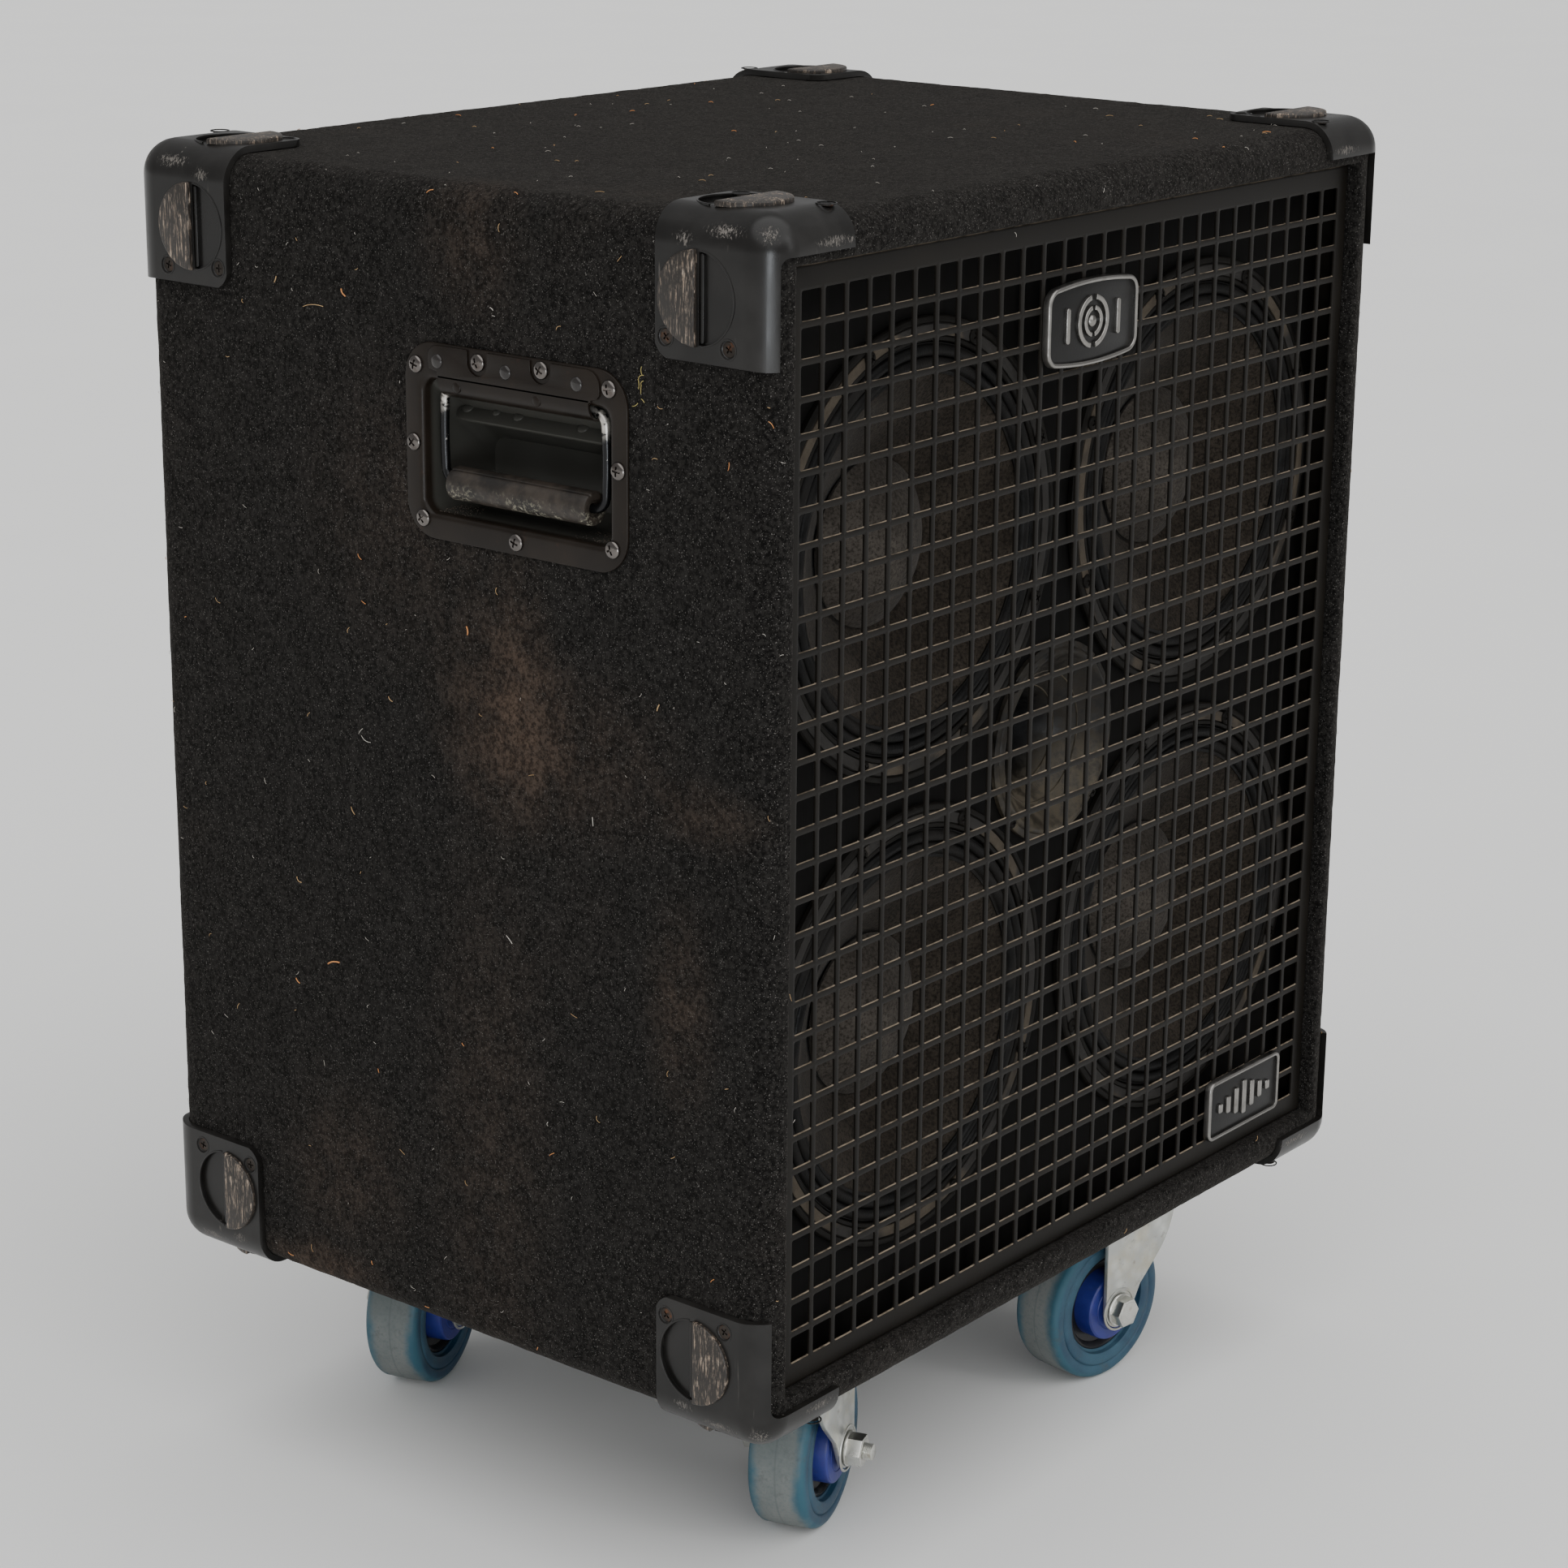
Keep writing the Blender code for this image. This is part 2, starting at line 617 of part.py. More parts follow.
def make_rear_fittings(cabinet, plastic, knob_plastic, board_green):
    """The frame's origin is the centre of the dish on the carpet, and +Y points out of the rear."""
    place = empty("socket_dish_place", cabinet, (0, DEPTH / 2, DISH_FROM_BOTTOM - HEIGHT / 2))
    body = solid(prism(rounded_rectangle(*DISH_FLANGE, 0.012), "Y", GAP, GAP + 0.002))
    wall = 0.004
    outer = rounded_rectangle(DISH_OPENING[0] + wall, DISH_OPENING[1] + wall, 0.009)
    combine(body, prism(outer, "Y", -DISH_DEPTH, GAP + 0.0005), "UNION")
    inner = rounded_rectangle(*DISH_OPENING, 0.008)
    combine(body, prism(inner, "Y", 0.002 - DISH_DEPTH, 0.01), "DIFFERENCE")
    for x in JACK_X:
        collar = prism(circle(0.0075, 6, (x, 0)), "Y", -DISH_DEPTH - 0.022, 0.0045 - DISH_DEPTH)
        combine(body, collar, "UNION")
    for x in JACK_X:
        bore = prism(circle(JACK_BORE / math.cos(math.pi / 12), 12, (x, 0)), "Y", -DISH_DEPTH - 0.020, 0)
        combine(body, bore, "DIFFERENCE")
    finish(body, "socket_dish", plastic, place)

    knob_axis = empty("level_knob_axis", place, (KNOB_X, 0.002 - DISH_DEPTH, 0))
    knob_profile = [(0.0, GAP), (0.010, GAP), (0.010, 0.003), (0.0085, 0.013), (0.0, 0.013)]
    knob = solid(turned(knob_profile, 16, TO_REAR))
    pointer = box((-0.001, 0.002, 0.002), (0.001, 0.0138, 0.0098))
    combine(knob, pointer, "UNION")
    finish(knob, "level_knob", knob_plastic, knob_axis)

    inside = DEPTH / 2 - CARPET - GAP - REAR_BOARD - GAP
    crossover = empty("crossover_place", cabinet, (0, inside, -0.070))
    body = solid(box((-0.065, -0.0100, -0.045), (0.065, -0.0084, 0.045)))
    for x in (-0.055, 0.055):
        for z in (-0.035, 0.035):
            spacer = prism(circle(0.004, 8, (x, z)), "Y", -0.0095, 0)
            combine(body, spacer, "UNION")
    for x, z, radius, height in ((-0.034, 0.012, 0.019, 0.022), (0.018, 0.014, 0.015, 0.018)):
        coil = prism(circle(radius, 12, (x, z)), "Y", -0.0090 - height, -0.0090)
        combine(body, coil, "UNION")
    for x in (-0.030, 0.004, 0.036):
        capacitor = box((x - 0.013, -0.024, -0.032), (x + 0.013, -0.009, -0.018))
        combine(body, capacitor, "UNION")
    finish(body, "crossover_board", board_green, crossover)


# ---------------------------------------------------------------- castors

def mount_plate_body():
    """Top plate, bearing cup and kingpin. The frame's origin is on the kingpin's axis, at the top."""
    length, width, sheet = MOUNT_PLATE
    body = solid(prism(rounded_rectangle(length, width, 0.008), "Z", -GAP - sheet, -GAP))
    profile = [
        (0.0, -0.002), (0.033, -0.002), (0.031, -0.0085), (0.0058, -0.0085), (0.0058, -0.0127),
        (0.010, -0.0127), (0.010, -0.018), (0.0, -0.018),
    ]
    combine(body, turned(profile, 12), "UNION")
    slots = bmesh.new()
    for x in (-1, 1):
        for y in (-1, 1):
            place = Matrix.Translation((x * (length / 2 - 0.010), y * (width / 2 - 0.011), 0))
            place = place @ Matrix.Diagonal((0.0085, 0.012, 0.02, 1))
            bmesh.ops.create_cube(slots, size=1.0, matrix=place)
    return combine(body, slots, "DIFFERENCE")


def fork_body():
    """A pressed fork round the wheel. +X points from the kingpin to the axle."""
    drop = WHEEL_RADIUS - CASTOR_HEIGHT
    end_radius = 0.012
    outline = [(TRAIL + end_radius, -0.0092)]
    for step in range(5):
        angle = -math.pi * 0.82 * step / 4
        outline.append((TRAIL + end_radius * math.cos(angle), drop + end_radius * math.sin(angle)))
    outline += [(0.006, -0.055), (-0.006, -0.043), (-0.014, -0.027), (-0.016, -0.0092)]
    body = None
    for side in (-1, 1):
        leg = prism(outline, "Y", *sorted((side * FORK_INNER, side * (FORK_INNER + FORK_SHEET))))
        body = combine(body, leg, "UNION") if body else solid(leg)
    head = [(0.044, -0.0262), (0.044, 0.0262)]
    for step in range(7):
        angle = math.radians(52 + 256 * step / 6)
        head.append((0.033 * math.cos(angle), 0.033 * math.sin(angle)))
    combine(body, prism(head, "Z", -0.0122, -0.0092), "UNION")
    combine(body, prism(circle(0.0064, 12), "Z", -0.03, 0.01), "DIFFERENCE")
    axle_hole = prism(circle(0.0056, 12, (TRAIL, drop)), "Y", -0.05, 0.05)
    return combine(body, axle_hole, "DIFFERENCE")


def flat_radius(radius, segments):
    """The radius of a turned polygon's corners that puts its flats at the wanted radius."""
    return radius / math.cos(math.pi / segments)


def tyre_body():
    """The tyre, with its axis along Y. A flat of its tread touches the floor."""
    segments = 20
    tread = flat_radius(WHEEL_RADIUS, segments)
    half = TYRE_HALF
    side = [(tread, 0.013), (tread - 0.005, half), (0.033, half), (0.0312, 0.014)]
    profile = side[::-1] + [(r, -y) for r, y in side]
    # A half-step turn puts the flats, not the corners, at the top and the bottom.
    return solid(turned(profile, segments, TO_FRONT))


def hub_body():
    side = [(0.0056, 0.0225), (0.021, 0.0225), (0.022, 0.009), (0.0305, 0.013)]
    profile = side + [(r, -y) for r, y in reversed(side)]
    return solid(turned(profile, 16, TO_FRONT))


def axle_bolt_body():
    """Bolt, spacers, washers and nut in one piece. The head is towards +Y and the nut towards -Y."""
    outside = FORK_INNER + FORK_SHEET + GAP
    body = solid(prism(circle(0.0050, 8), "Y", -outside - 0.016, outside + 0.005))
    for side in (-1, 1):
        ends = sorted((side * 0.0228, side * (FORK_INNER - GAP)))
        combine(body, prism(circle(0.0075, 8), "Y", *ends), "UNION")
        ends = sorted((side * outside, side * (outside + 0.0016)))
        combine(body, prism(circle(0.0108, 8), "Y", *ends), "UNION")
        thick = 0.0082 if side > 0 else 0.0105
        ends = sorted((side * (outside + 0.001), side * (outside + thick)))
        combine(body, prism(circle(0.0098, 6), "Y", *ends), "UNION")
    return body


def make_castors(cabinet, zinc, tyre_rubber, blue_plastic, bright_steel):
    plate = finish(mount_plate_body(), "castor_plate", zinc, None)
    fork = finish(fork_body(), "castor_fork", zinc, None)
    tyre = finish(tyre_body(), "castor_tyre", tyre_rubber, None)
    hub = finish(hub_body(), "castor_hub", blue_plastic, None)
    bolt = finish(axle_bolt_body(), "castor_bolt", bright_steel, None)
    for name, (x, y, trail_angle) in CASTORS.items():
        place = empty(f"{name}_place", cabinet, (x, y, -HEIGHT / 2))
        copy_of(plate, f"{name}_plate", place)
        swivel = empty(f"{name}_swivel", place, (0, 0, 0), (0, 0, math.radians(trail_angle)))
        copy_of(fork, f"{name}_fork", swivel)
        axle = empty(f"{name}_axle", swivel, (TRAIL, 0, WHEEL_RADIUS - CASTOR_HEIGHT))
        copy_of(tyre, f"{name}_tyre", axle)
        copy_of(hub, f"{name}_hub", axle)
        copy_of(bolt, f"{name}_bolt", axle)
    for pattern in (plate, fork, tyre, hub, bolt):
        bpy.data.objects.remove(pattern)


def main():
    clear_scene()
    cabinet = empty("cabinet", None, (0, 0, CASTOR_HEIGHT + HEIGHT / 2))
    wood = material("birch_plywood", (0.42, 0.29, 0.17), 0.7)
    carpet = material("black_carpet", (0.018, 0.017, 0.016), 0.95)
    black_steel = material("black_powder_coat", (0.020, 0.019, 0.018), 0.45, 0.2)
    silver = material("silver_badge", (0.45, 0.44, 0.42), 0.35, 0.9)
    plastic = material("black_corner_plastic", (0.022, 0.021, 0.020), 0.40)
    worn_steel = material("black_wire", (0.030, 0.029, 0.028), 0.35, 0.8)
    grip_rubber = material("grip_rubber", (0.035, 0.030, 0.026), 0.70)
    frame_steel = material("driver_frame", (0.025, 0.024, 0.024), 0.45, 0.4)
    paper = material("cone_paper", (0.060, 0.054, 0.050), 0.90)
    edge_foam = material("cone_surround", (0.020, 0.020, 0.020), 0.40)
    knob_plastic = material("knob_plastic", (0.015, 0.015, 0.015), 0.40)
    board_green = material("crossover_board", (0.060, 0.120, 0.060), 0.60)
    zinc = material("zinc_plated_steel", (0.58, 0.58, 0.55), 0.38, 0.9)
    tyre_rubber = material("blue_grey_rubber", (0.085, 0.125, 0.150), 0.75)
    blue_plastic = material("blue_nylon", (0.030, 0.045, 0.230), 0.40)
    bright_steel = material("bright_steel", (0.65, 0.64, 0.60), 0.30, 1.0)

    make_boards(cabinet, wood)
    make_carpet(cabinet, carpet)
    make_grille(cabinet, black_steel)
    make_badges(cabinet, silver)
    make_corners(cabinet, plastic)
    make_handles(cabinet, black_steel, worn_steel, grip_rubber)
    make_drivers(cabinet, frame_steel, paper, edge_foam)
    make_horn(cabinet, plastic)
    make_rear_fittings(cabinet, plastic, knob_plastic, board_green)
    make_castors(cabinet, zinc, tyre_rubber, blue_plastic, bright_steel)


main()
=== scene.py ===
"""Looks of the 4x10 bass cabinet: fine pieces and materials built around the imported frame.

Metres, +Z up, the grille towards -Y. Places come from the frame's boxes and joints. A piece that is
drawn in its own frame, such as a wheel, is put in place by one matrix.
"""

import itertools
import json
import math
import random

import bmesh
import bpy
from mathutils import Matrix, Vector, noise


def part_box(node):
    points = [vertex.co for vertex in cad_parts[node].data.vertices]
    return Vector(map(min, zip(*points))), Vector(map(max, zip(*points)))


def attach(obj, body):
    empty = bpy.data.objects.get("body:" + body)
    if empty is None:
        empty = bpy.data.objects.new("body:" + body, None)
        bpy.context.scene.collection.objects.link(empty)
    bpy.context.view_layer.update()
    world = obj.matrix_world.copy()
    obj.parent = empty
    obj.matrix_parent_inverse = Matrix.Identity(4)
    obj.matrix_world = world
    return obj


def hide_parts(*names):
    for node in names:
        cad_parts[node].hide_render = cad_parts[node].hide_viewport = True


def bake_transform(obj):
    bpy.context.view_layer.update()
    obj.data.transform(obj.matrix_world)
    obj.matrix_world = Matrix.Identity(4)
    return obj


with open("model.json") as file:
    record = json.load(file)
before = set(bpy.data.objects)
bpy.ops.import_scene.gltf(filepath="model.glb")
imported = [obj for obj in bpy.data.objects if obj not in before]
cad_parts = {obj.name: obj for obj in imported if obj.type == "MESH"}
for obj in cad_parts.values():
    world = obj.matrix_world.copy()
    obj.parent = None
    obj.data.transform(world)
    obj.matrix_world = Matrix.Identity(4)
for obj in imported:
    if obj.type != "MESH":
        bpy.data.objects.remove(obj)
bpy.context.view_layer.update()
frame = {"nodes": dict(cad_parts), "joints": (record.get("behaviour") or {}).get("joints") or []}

# Camera: where it looks from, towards a point near the front left upright
CAMERA_TARGET = Vector((-0.2723, -0.2237, 0.4991))
CAMERA_DISTANCE = 1.8967
CAMERA_AZIMUTH = math.radians(-51.335)
CAMERA_ELEVATION = math.radians(16.830)
CAMERA_ROLL = math.radians(0.535)
CAMERA_LENS = 84.52

# The box, read from the frame
LOW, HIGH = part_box("carpet_cover")
CENTRE = (LOW + HIGH) / 2
HALF = (HIGH - LOW) / 2
GRILLE_LOW, GRILLE_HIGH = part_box("grille")
BAFFLE_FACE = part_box("baffle_board")[0].y
EDGE_RADIUS = 0.016
GAP = 0.0003

# Carpet
FELT_SPACING = 0.0046
FELT_SWELL = 0.00035
MOUTH_ROUND = 0.0030
FUZZ_COUNT = 42000
FUZZ_SEED = 11
LINT_COUNT = 620
LINT_SEED = 23

# Grille
GRILLE_CELLS = (27, 31)
GRILLE_BAR = 0.0036
GRILLE_SHEET = 0.0015
GRILLE_BORDER = (0.0124, 0.0139)
GRILLE_FOLD = 0.0026
HOLE_ROUND = 0.0011
HOLE_RIM = 0.00045
BADGE_RIM = 0.0026

# Corner protectors
CORNER_WALL = 0.004
CORNER_REACH = (0.061, 0.074, 0.074)
CORNER_ROUND = 0.012
CORNER_LIP = 0.005
CORNER_ARM = 0.0175
DISC_RADIUS = 0.0245
DISC_FROM_LIP = 0.046
DISC_FROM_TOP = 0.041
DISC_FROM_SIDE = 0.034
PAD_HEIGHT = 0.0025
POCKET_DEPTH = 0.0026

# Handles
HANDLE_SHEET = 0.0015
PLATE_FACE = GAP + HANDLE_SHEET
BRACKET_FACE = PLATE_FACE + 0.0012
PLATE_ROUND = 0.020
OPENING_SIZE = (0.133, 0.073)
OPENING_DROP = 0.003
OPENING_BEAD = 0.0030
BARREL = (0.0295, -0.0065)
BAIL_WIRE = 0.0025
BAIL_BEND = 0.008
DUST_SEED = 5
DUST_COUNT = 260

# Loudspeakers
SURROUND_OUTER = 0.1127
SURROUND_INNER = 0.0972
SURROUND_PARTS = 12
ROUND_STEPS = 96
DRIVER_RIM = 0.1275
DRIVER_SCREWS = 0.1203
HORN_SCREWS = 0.0568

# Rear sockets
DISH_RIM = 0.010
DISH_ROUND = 0.012
JACK_X = (-0.048, -0.018)
KNOB_FLUTES = 24
KNOB_FLUTE_DEPTH = 0.00045

# Castors
CASTOR_SHEET = 0.003
SLOT_INSET = (0.010, 0.011)
FORK_INNER = 0.0245
FORK_SHEET = 0.0028
TYRE_HALF = 0.018

# Light
WORLD_STRENGTH = 0.40
SUN_STRENGTH = 3.0
SUN_FROM = (-0.25, -0.35, 1.0)
SUN_ANGLE = math.radians(100)

# Turns that point a piece's local Z towards a side
TO_FRONT = Matrix.Rotation(math.pi / 2, 4, "X")
TO_REAR = Matrix.Rotation(-math.pi / 2, 4, "X")
DOWNWARDS = Matrix.Rotation(math.pi, 4, "X")


def moved(x, y, z):
    return Matrix.Translation((x, y, z))


def spun(angle, axis="Z"):
    return Matrix.Rotation(angle, 4, axis)


def front_place(node, y):
    """Where a piece facing the front stands: the middle of the node's box, at this depth."""
    low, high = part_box(node)
    return moved((low.x + high.x) / 2, y, (low.z + high.z) / 2) @ TO_FRONT


# ---------------------------------------------------------------- materials

class Paint:
    """A node material. Its patterns use the piece's own coordinates, which are the row frame's
    for every piece that is drawn in place."""

    def __init__(self, name, roughness=0.5, metallic=0.0, **settings):
        self.material = bpy.data.materials.new(name)
        self.material.use_nodes = True
        self.nodes = self.material.node_tree.nodes
        self.links = self.material.node_tree.links
        self.shader = self.nodes["Principled BSDF"]
        self.shader.inputs["Roughness"].default_value = roughness
        self.shader.inputs["Metallic"].default_value = metallic
        for socket, value in settings.items():
            self.shader.inputs[socket.replace("_", " ")].default_value = value
        self.place = self.nodes.new("ShaderNodeTexCoord").outputs["Object"]

    def plug(self, value, socket):
        if isinstance(value, bpy.types.NodeSocket):
            self.links.new(value, socket)
        elif hasattr(value, "__len__") and len(value) == 3 and len(socket.default_value) == 4:
            socket.default_value = (*value, 1.0)
        else:
            socket.default_value = value

    def stretched(self, scale, turn=(0, 0, 0)):
        """The coordinates squeezed along some axes, so that a pattern runs along the others."""
        node = self.nodes.new("ShaderNodeMapping")
        self.links.new(self.place, node.inputs["Vector"])
        node.inputs["Scale"].default_value = scale
        node.inputs["Rotation"].default_value = turn
        return node.outputs["Vector"]

    def noise(self, scale, detail=3.0, rough=0.55, at=None, distortion=0.0):
        node = self.nodes.new("ShaderNodeTexNoise")
        self.links.new(at or self.place, node.inputs["Vector"])
        node.inputs["Scale"].default_value = scale
        node.inputs["Detail"].default_value = detail
        node.inputs["Roughness"].default_value = rough
        node.inputs["Distortion"].default_value = distortion
        return node.outputs["Fac"]

    def cells(self, scale):
        node = self.nodes.new("ShaderNodeTexVoronoi")
        self.links.new(self.place, node.inputs["Vector"])
        node.inputs["Scale"].default_value = scale
        return node.outputs["Distance"]

    def span(self, value, low, high, to_low=0.0, to_high=1.0):
        node = self.nodes.new("ShaderNodeMapRange")
        node.interpolation_type = "SMOOTHSTEP"
        sockets = ("Value", "From Min", "From Max", "To Min", "To Max")
        for socket, number in zip(sockets, (value, low, high, to_low, to_high)):
            self.plug(number, node.inputs[socket])
        return node.outputs["Result"]

    def maths(self, operation, a, b=0.0):
        node = self.nodes.new("ShaderNodeMath")
        node.operation = operation
        self.plug(a, node.inputs[0])
        self.plug(b, node.inputs[1])
        return node.outputs["Value"]

    def mix(self, factor, a, b):
        node = self.nodes.new("ShaderNodeMix")
        node.data_type = "RGBA"
        self.plug(factor, node.inputs["Factor"])
        self.plug(a, node.inputs[6])
        self.plug(b, node.inputs[7])
        return node.outputs[2]

    def near(self, point, reach, squeeze=(1, 1, 1)):
        """1 at the point, falling to 0 at this distance. squeeze above 1 narrows the spot on that axis."""
        node = self.nodes.new("ShaderNodeMapping")
        node.vector_type = "POINT"
        self.links.new(self.place, node.inputs["Vector"])
        node.inputs["Scale"].default_value = squeeze
        centre = [-c * s for c, s in zip(point, squeeze)]
        node.inputs["Location"].default_value = centre
        return self.span(self.length(node.outputs["Vector"]), 0.0, reach, 1.0, 0.0)

    def length(self, vector):
        node = self.nodes.new("ShaderNodeVectorMath")
        node.operation = "LENGTH"
        self.links.new(vector, node.inputs[0])
        return node.outputs["Value"]

    def axis(self, name, vector=None):
        node = self.nodes.new("ShaderNodeSeparateXYZ")
        self.links.new(vector or self.place, node.inputs["Vector"])
        return node.outputs[name]

    def from_axis(self, kept=(1, 0, 1)):
        """Distance from an axis of the piece's own frame: kept is 1 for the two directions across it."""
        return self.length(self.stretched(kept))

    def facing(self, name):
        """The surface's own normal along one axis of the row frame."""
        return self.axis(name, self.nodes.new("ShaderNodeNewGeometry").outputs["Normal"])

    def colour(self, value):
        self.plug(value, self.shader.inputs["Base Color"])
        return self

    def rough(self, value):
        self.plug(value, self.shader.inputs["Roughness"])
        return self

    def metal(self, value):
        self.plug(value, self.shader.inputs["Metallic"])
        return self

    def bump(self, height, distance, strength=1.0):
        node = self.nodes.new("ShaderNodeBump")
        node.inputs["Strength"].default_value = strength
        node.inputs["Distance"].default_value = distance
        self.links.new(height, node.inputs["Height"])
        before = self.shader.inputs["Normal"]
        if before.is_linked:
            self.links.new(before.links[0].from_socket, node.inputs["Normal"])
        self.links.new(node.outputs["Normal"], before)
        return self


def felt_material():
    """Needle-punched carpet: matted fibres, worn and dusty brown in places."""
    paint = Paint("carpet_felt", 0.95, Sheen_Weight=0.06, Sheen_Roughness=0.5, Specular_IOR_Level=0.06)
    paint.shader.inputs["Sheen Tint"].default_value = (0.55, 0.50, 0.45, 1)
    tufts = paint.noise(420, 3, 0.65)
    strands = paint.noise(900, 2, 0.6, paint.stretched((1, 1, 0.35)))
    clumps = paint.noise(55, 3, 0.6)
    broad = paint.noise(7, 2)
    dark = paint.mix(paint.span(tufts, 0.38, 0.66), (0.0030, 0.0028, 0.0026), (0.0160, 0.0150, 0.0138))
    dark = paint.mix(paint.span(clumps, 0.40, 0.70, 0, 0.22), dark, (0.0210, 0.0195, 0.0180))
    pale = paint.span(paint.noise(1300, 1, 0.5), 0.66, 0.72)
    speckled = paint.mix(paint.maths("MULTIPLY", pale, 0.55), dark, (0.16, 0.15, 0.14))
    left, front = LOW.x, LOW.y
    brown = 0.0
    for y, z, reach, squeeze, amount in (
        (0.185, 0.378, 0.070, (1, 1, 0.8), 0.50), (0.173, 0.400, 0.05, (1, 1.6, 0.5), 0.35),
        (0.040, 0.350, 0.05, (1, 1, 2.0), 0.35), (0.336, 0.006, 0.05, (1, 0.7, 1.6), 0.75),
        (0.060, 0.240, 0.05, (1, 1.5, 0.6), 0.35), (0.204, 0.636, 0.05, (1, 1.0, 0.8), 0.30),
        (0.313, 0.080, 0.06, (1, 0.8, 0.8), 0.28), (0.138, 0.365, 0.08, (1, 0.7, 1.2), 0.30),
        (0.200, 0.130, 0.10, (1, 1.5, 0.4), 0.22), (0.250, 0.480, 0.12, (1, 1, 1), 0.18),
    ):
        spot = paint.near((left, front + y, LOW.z + z), reach, squeeze)
        brown = paint.maths("ADD", paint.maths("MULTIPLY", spot, amount), brown)
    other = paint.span(broad, 0.58, 0.80, 0.0, 0.06)
    patchy = paint.span(clumps, 0.30, 0.66, 0.35, 1.2)
    brown = paint.maths("MULTIPLY", paint.maths("ADD", brown, other), patchy)
    dusty = paint.mix(paint.span(tufts, 0.35, 0.65), (0.022, 0.015, 0.011), (0.070, 0.049, 0.036))
    paint.colour(paint.mix(paint.maths("MINIMUM", brown, 1.0), speckled, dusty))
    paint.bump(clumps, 0.0012, 0.35)
    paint.bump(tufts, 0.0010, 0.9)
    return paint.bump(strands, 0.0005, 0.7).material


def scratch_mask(paint, amount=0.5):
    """Thin broken lines in three directions, thickest where a broad noise is high."""
    lines = 0.0
    for turn, low in ((0.2, 0.68), (1.25, 0.70), (-0.7, 0.71)):
        streak = paint.noise(260, 2, 0.5, paint.stretched((1, 1, 0.07), (turn, turn * 0.6, 0.3)))
        lines = paint.maths("MAXIMUM", paint.span(streak, low, low + 0.05), lines)
    return paint.maths("MULTIPLY", lines, paint.span(paint.noise(30, 3), 0.60 - amount * 0.3, 0.75))


def plastic_material(name, scuff, colour=(0.0070, 0.0064, 0.0058), rubbed=()):
    """Moulded plastic with a fine grain and pale tan scratches. scuff is 0 for none, 1 for heavy, and
    rubbed lists (point, reach, squeeze) of spots worn pale."""
    paint = Paint(name, 0.4, Specular_IOR_Level=0.30)
    grain = paint.noise(1500, 2, 0.6)
    haze = paint.noise(22, 4, 0.6)
    base = paint.mix(paint.span(haze, 0.35, 0.75), colour, [c * 2.1 + 0.002 for c in colour])
    marks = paint.maths("MULTIPLY", scratch_mask(paint, scuff), min(1.0, 0.25 + scuff))
    worn = paint.mix(paint.noise(120, 2), (0.10, 0.085, 0.070), (0.34, 0.31, 0.28))
    streaks = paint.noise(900, 4, 0.75, paint.stretched((1, 1, 0.35), (0.3, 0, 0)), 0.6)
    rags = paint.span(streaks, 0.3, 0.7, -0.6, 0.6)
    for spot, reach, squeeze in rubbed:
        rag = paint.maths("ADD", paint.near(spot, reach * 1.5, squeeze), rags)
        marks = paint.maths("MAXIMUM", marks, paint.span(rag, 0.80, 1.20, 0.0, 0.55))
    paint.colour(paint.mix(marks, base, worn))
    gloss = paint.span(haze, 0.3, 0.75, 0.27, 0.42)
    paint.rough(paint.maths("ADD", gloss, paint.maths("MULTIPLY", marks, 0.3)))
    paint.bump(grain, 0.00008, 0.35)
    return paint.bump(marks, 0.00025, 0.6).material


def corner_rubs():
    """Where each protector is worn: its ball, its side edge, its front edge and the foot of its side."""
    spots = []
    for z, x, y in itertools.product((1, -1), (-1, 1), (-1, 1)):
        for inwards, reach, squeeze in (
            ((0.001, 0.004, 0.005), 0.0085, (1, 1, 1)),
            ((-0.002, 0.030, 0.006), 0.0100, (1, 0.6, 2.0)),
            ((0.045, -0.003, 0.013), 0.0100, (0.5, 1, 2.6)),
            ((-0.003, 0.055, 0.012), 0.0070, (1, 0.8, 1.4)),
        ):
            corner = HALF - Vector(inwards)
            spots.append((CENTRE + Vector((x * corner.x, y * corner.y, z * corner.z)), reach, squeeze))
    return spots


def pad_material():
    """The raised halves of the corner discs, rubbed pale by use: streaks along the grain of the wear."""
    paint = Paint("corner_pad_scuffed", 0.5, Specular_IOR_Level=0.4)
    streaks = paint.noise(620, 4, 0.65, paint.stretched((1, 1, 0.13), (0.12, 0, 0)), 0.4)
    fine = paint.noise(1700, 2, 0.6, paint.stretched((1, 1, 0.09), (0.12, 0, 0)))
    patch = paint.noise(95, 4, 0.65)
    base = paint.mix(patch, (0.008, 0.007, 0.006), (0.030, 0.023, 0.018))
    wear = paint.maths("MULTIPLY", paint.span(streaks, 0.52, 0.64), paint.span(patch, 0.40, 0.60))
    wear = paint.maths("MAXIMUM", wear, paint.maths("MULTIPLY", paint.span(fine, 0.58, 0.70), 0.45))
    tan = paint.mix(paint.noise(160, 2), (0.19, 0.115, 0.066), (0.50, 0.42, 0.34))
    paint.colour(paint.mix(wear, base, tan))
    paint.rough(paint.span(wear, 0, 1, 0.38, 0.75))
    return paint.bump(paint.maths("ADD", wear, paint.maths("MULTIPLY", fine, 0.5)), 0.00025, 0.7).material


